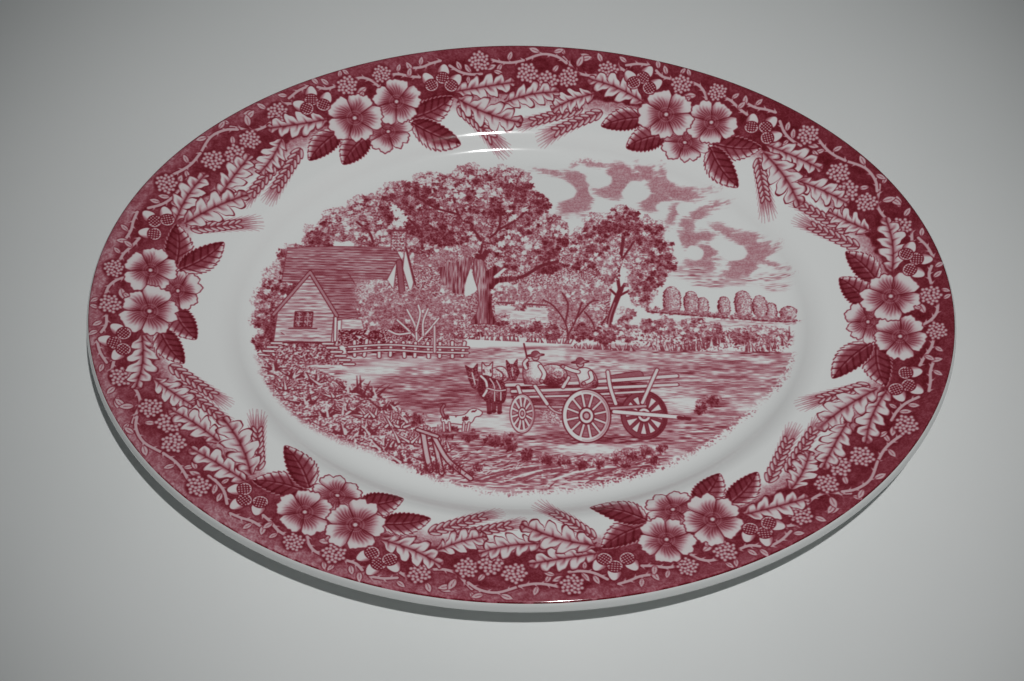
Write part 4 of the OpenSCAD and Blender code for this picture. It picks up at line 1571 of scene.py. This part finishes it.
TABLE_SIZE = 2.4
# The flash stands nearly overhead, and its beam dims towards the picture's corners.
LAMP_HEIGHT_ANGLE = 71.8
LAMP_DISTANCE = 1.15
LAMP_TO_THE_RIGHT = 0.09
LAMP_AIM = (0.008, 0.008, 0)
LAMP_RADIUS = 0.012
LAMP_POWER = 29
LAMP_BEAM = 31
FILL_LIGHT = (0.070, 0.074, 0.076)


def aimed(thing, place, target, roll=0):
    """Puts a camera or a lamp there, pointing at the target."""
    thing.location = place
    turn = (Vector(target) - Vector(place)).to_track_quat("-Z", "Y")
    thing.rotation_mode = "QUATERNION"
    thing.rotation_quaternion = turn @ Quaternion((0, 0, 1), math.radians(roll))
    bpy.context.scene.collection.objects.link(thing)


def above(target, height_angle, distance):
    """A place this far from the target, raised by this angle on the viewer's side."""
    a = math.radians(height_angle)
    return Vector(target) + distance * Vector((0, -math.cos(a), math.sin(a)))


def make_stage():
    scene = bpy.context.scene
    scene.view_settings.view_transform = "Standard"
    aim = Vector(CAMERA_AIM) * MM
    camera = bpy.data.objects.new("camera", bpy.data.cameras.new("camera"))
    camera.data.lens = CAMERA_LENS
    aimed(camera, above(aim, CAMERA_HEIGHT_ANGLE, CAMERA_DISTANCE * MM), aim, CAMERA_ROLL)
    scene.camera = camera

    lamp = bpy.data.lights.new("key", "SPOT")
    lamp.shadow_soft_size = LAMP_RADIUS
    lamp.energy = LAMP_POWER
    lamp.spot_size = math.radians(LAMP_BEAM)
    lamp.spot_blend = 1
    place = above((LAMP_TO_THE_RIGHT, 0, 0), LAMP_HEIGHT_ANGLE, LAMP_DISTANCE)
    aimed(bpy.data.objects.new("key", lamp), place, LAMP_AIM)

    world = bpy.data.worlds.new("studio")
    world.use_nodes = True
    world.node_tree.nodes["Background"].inputs["Color"].default_value = (*FILL_LIGHT, 1)
    scene.world = world

    half = TABLE_SIZE / 2
    mesh = bpy.data.meshes.new("table")
    corners = [(-half, -half, 0), (half, -half, 0), (half, half, 0), (-half, half, 0)]
    mesh.from_pydata(corners, [], [(0, 1, 2, 3)])
    mesh.materials.append(table_top())
    table = bpy.data.objects.new("table", mesh)
    scene.collection.objects.link(table)


# ---- The platter --------------------------------------------------------------------

def printing():
    """Draws both plates, and returns the ink at any points."""
    border = Plate(HALF_LENGTH + 1, PLATTER_WIDTH / 2 + 1)
    draw_border(border, HALF_LENGTH, PLATTER_WIDTH / 2)
    well = Plate(SHOULDER_REACH, SHOULDER_REACH * NARROWING)
    draw_scene(well)
    border.blur()
    well.blur()

    def ink_at(points):
        return np.maximum(border.read(points), well.read(points))

    return ink_at


def add(piece, material, slot, *nodes):
    """Gives a piece its material, and says what it rides and replaces."""
    piece.data.materials.append(material)
    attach(piece, BODY)
    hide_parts(*nodes)


def make_platter():
    ink_at = printing()
    white, clay = white_glaze(), bare_clay()
    section = section_of(well_clay, rim_clay, lip_clay, underside_clay, standing_face, base_clay)
    add(turned("clay_body", section, looped=False), clay, "bare_clay", "clay_body")
    section = section_of(base_clay[::-1], base_line)
    add(turned("base_glaze", section, looped=False), white, "white_glaze", "base_glaze")
    section = section_of(underside_line, underside_clay[::-1])
    add(turned("underside_glaze", section), white, "white_glaze", "underside_glaze")
    section = section_of(lip_line, lip_clay[::-1])
    add(turned("lip_glaze", section), white, "white_glaze", "lip_glaze")

    scene_print = printed_glaze("scene_print")
    for quarter in range(4):
        piece = well_quarter(f"well_print_{quarter + 1}", quarter, well_line, well_clay, ink_at)
        add(piece, scene_print, "scene_print", "well_print")

    border_print = printed_glaze("border_print")
    section = section_of(evenly(rim_line, PRINT_SPACING), rim_clay[::-1])
    side_angle = (180 - END_SECTION_ANGLE) / 2
    angles = [side_angle, side_angle, END_SECTION_ANGLE] * 2
    start = END_SECTION_ANGLE / 2
    for number, angle in enumerate(angles, 1):
        name = f"border_print_{number}"
        steps = round(RIM_STEPS * angle / 360)
        add(turned(name, section, start, angle, steps, ink_at=ink_at), border_print, "border_print", name)
        start += angle


make_stage()
make_platter()
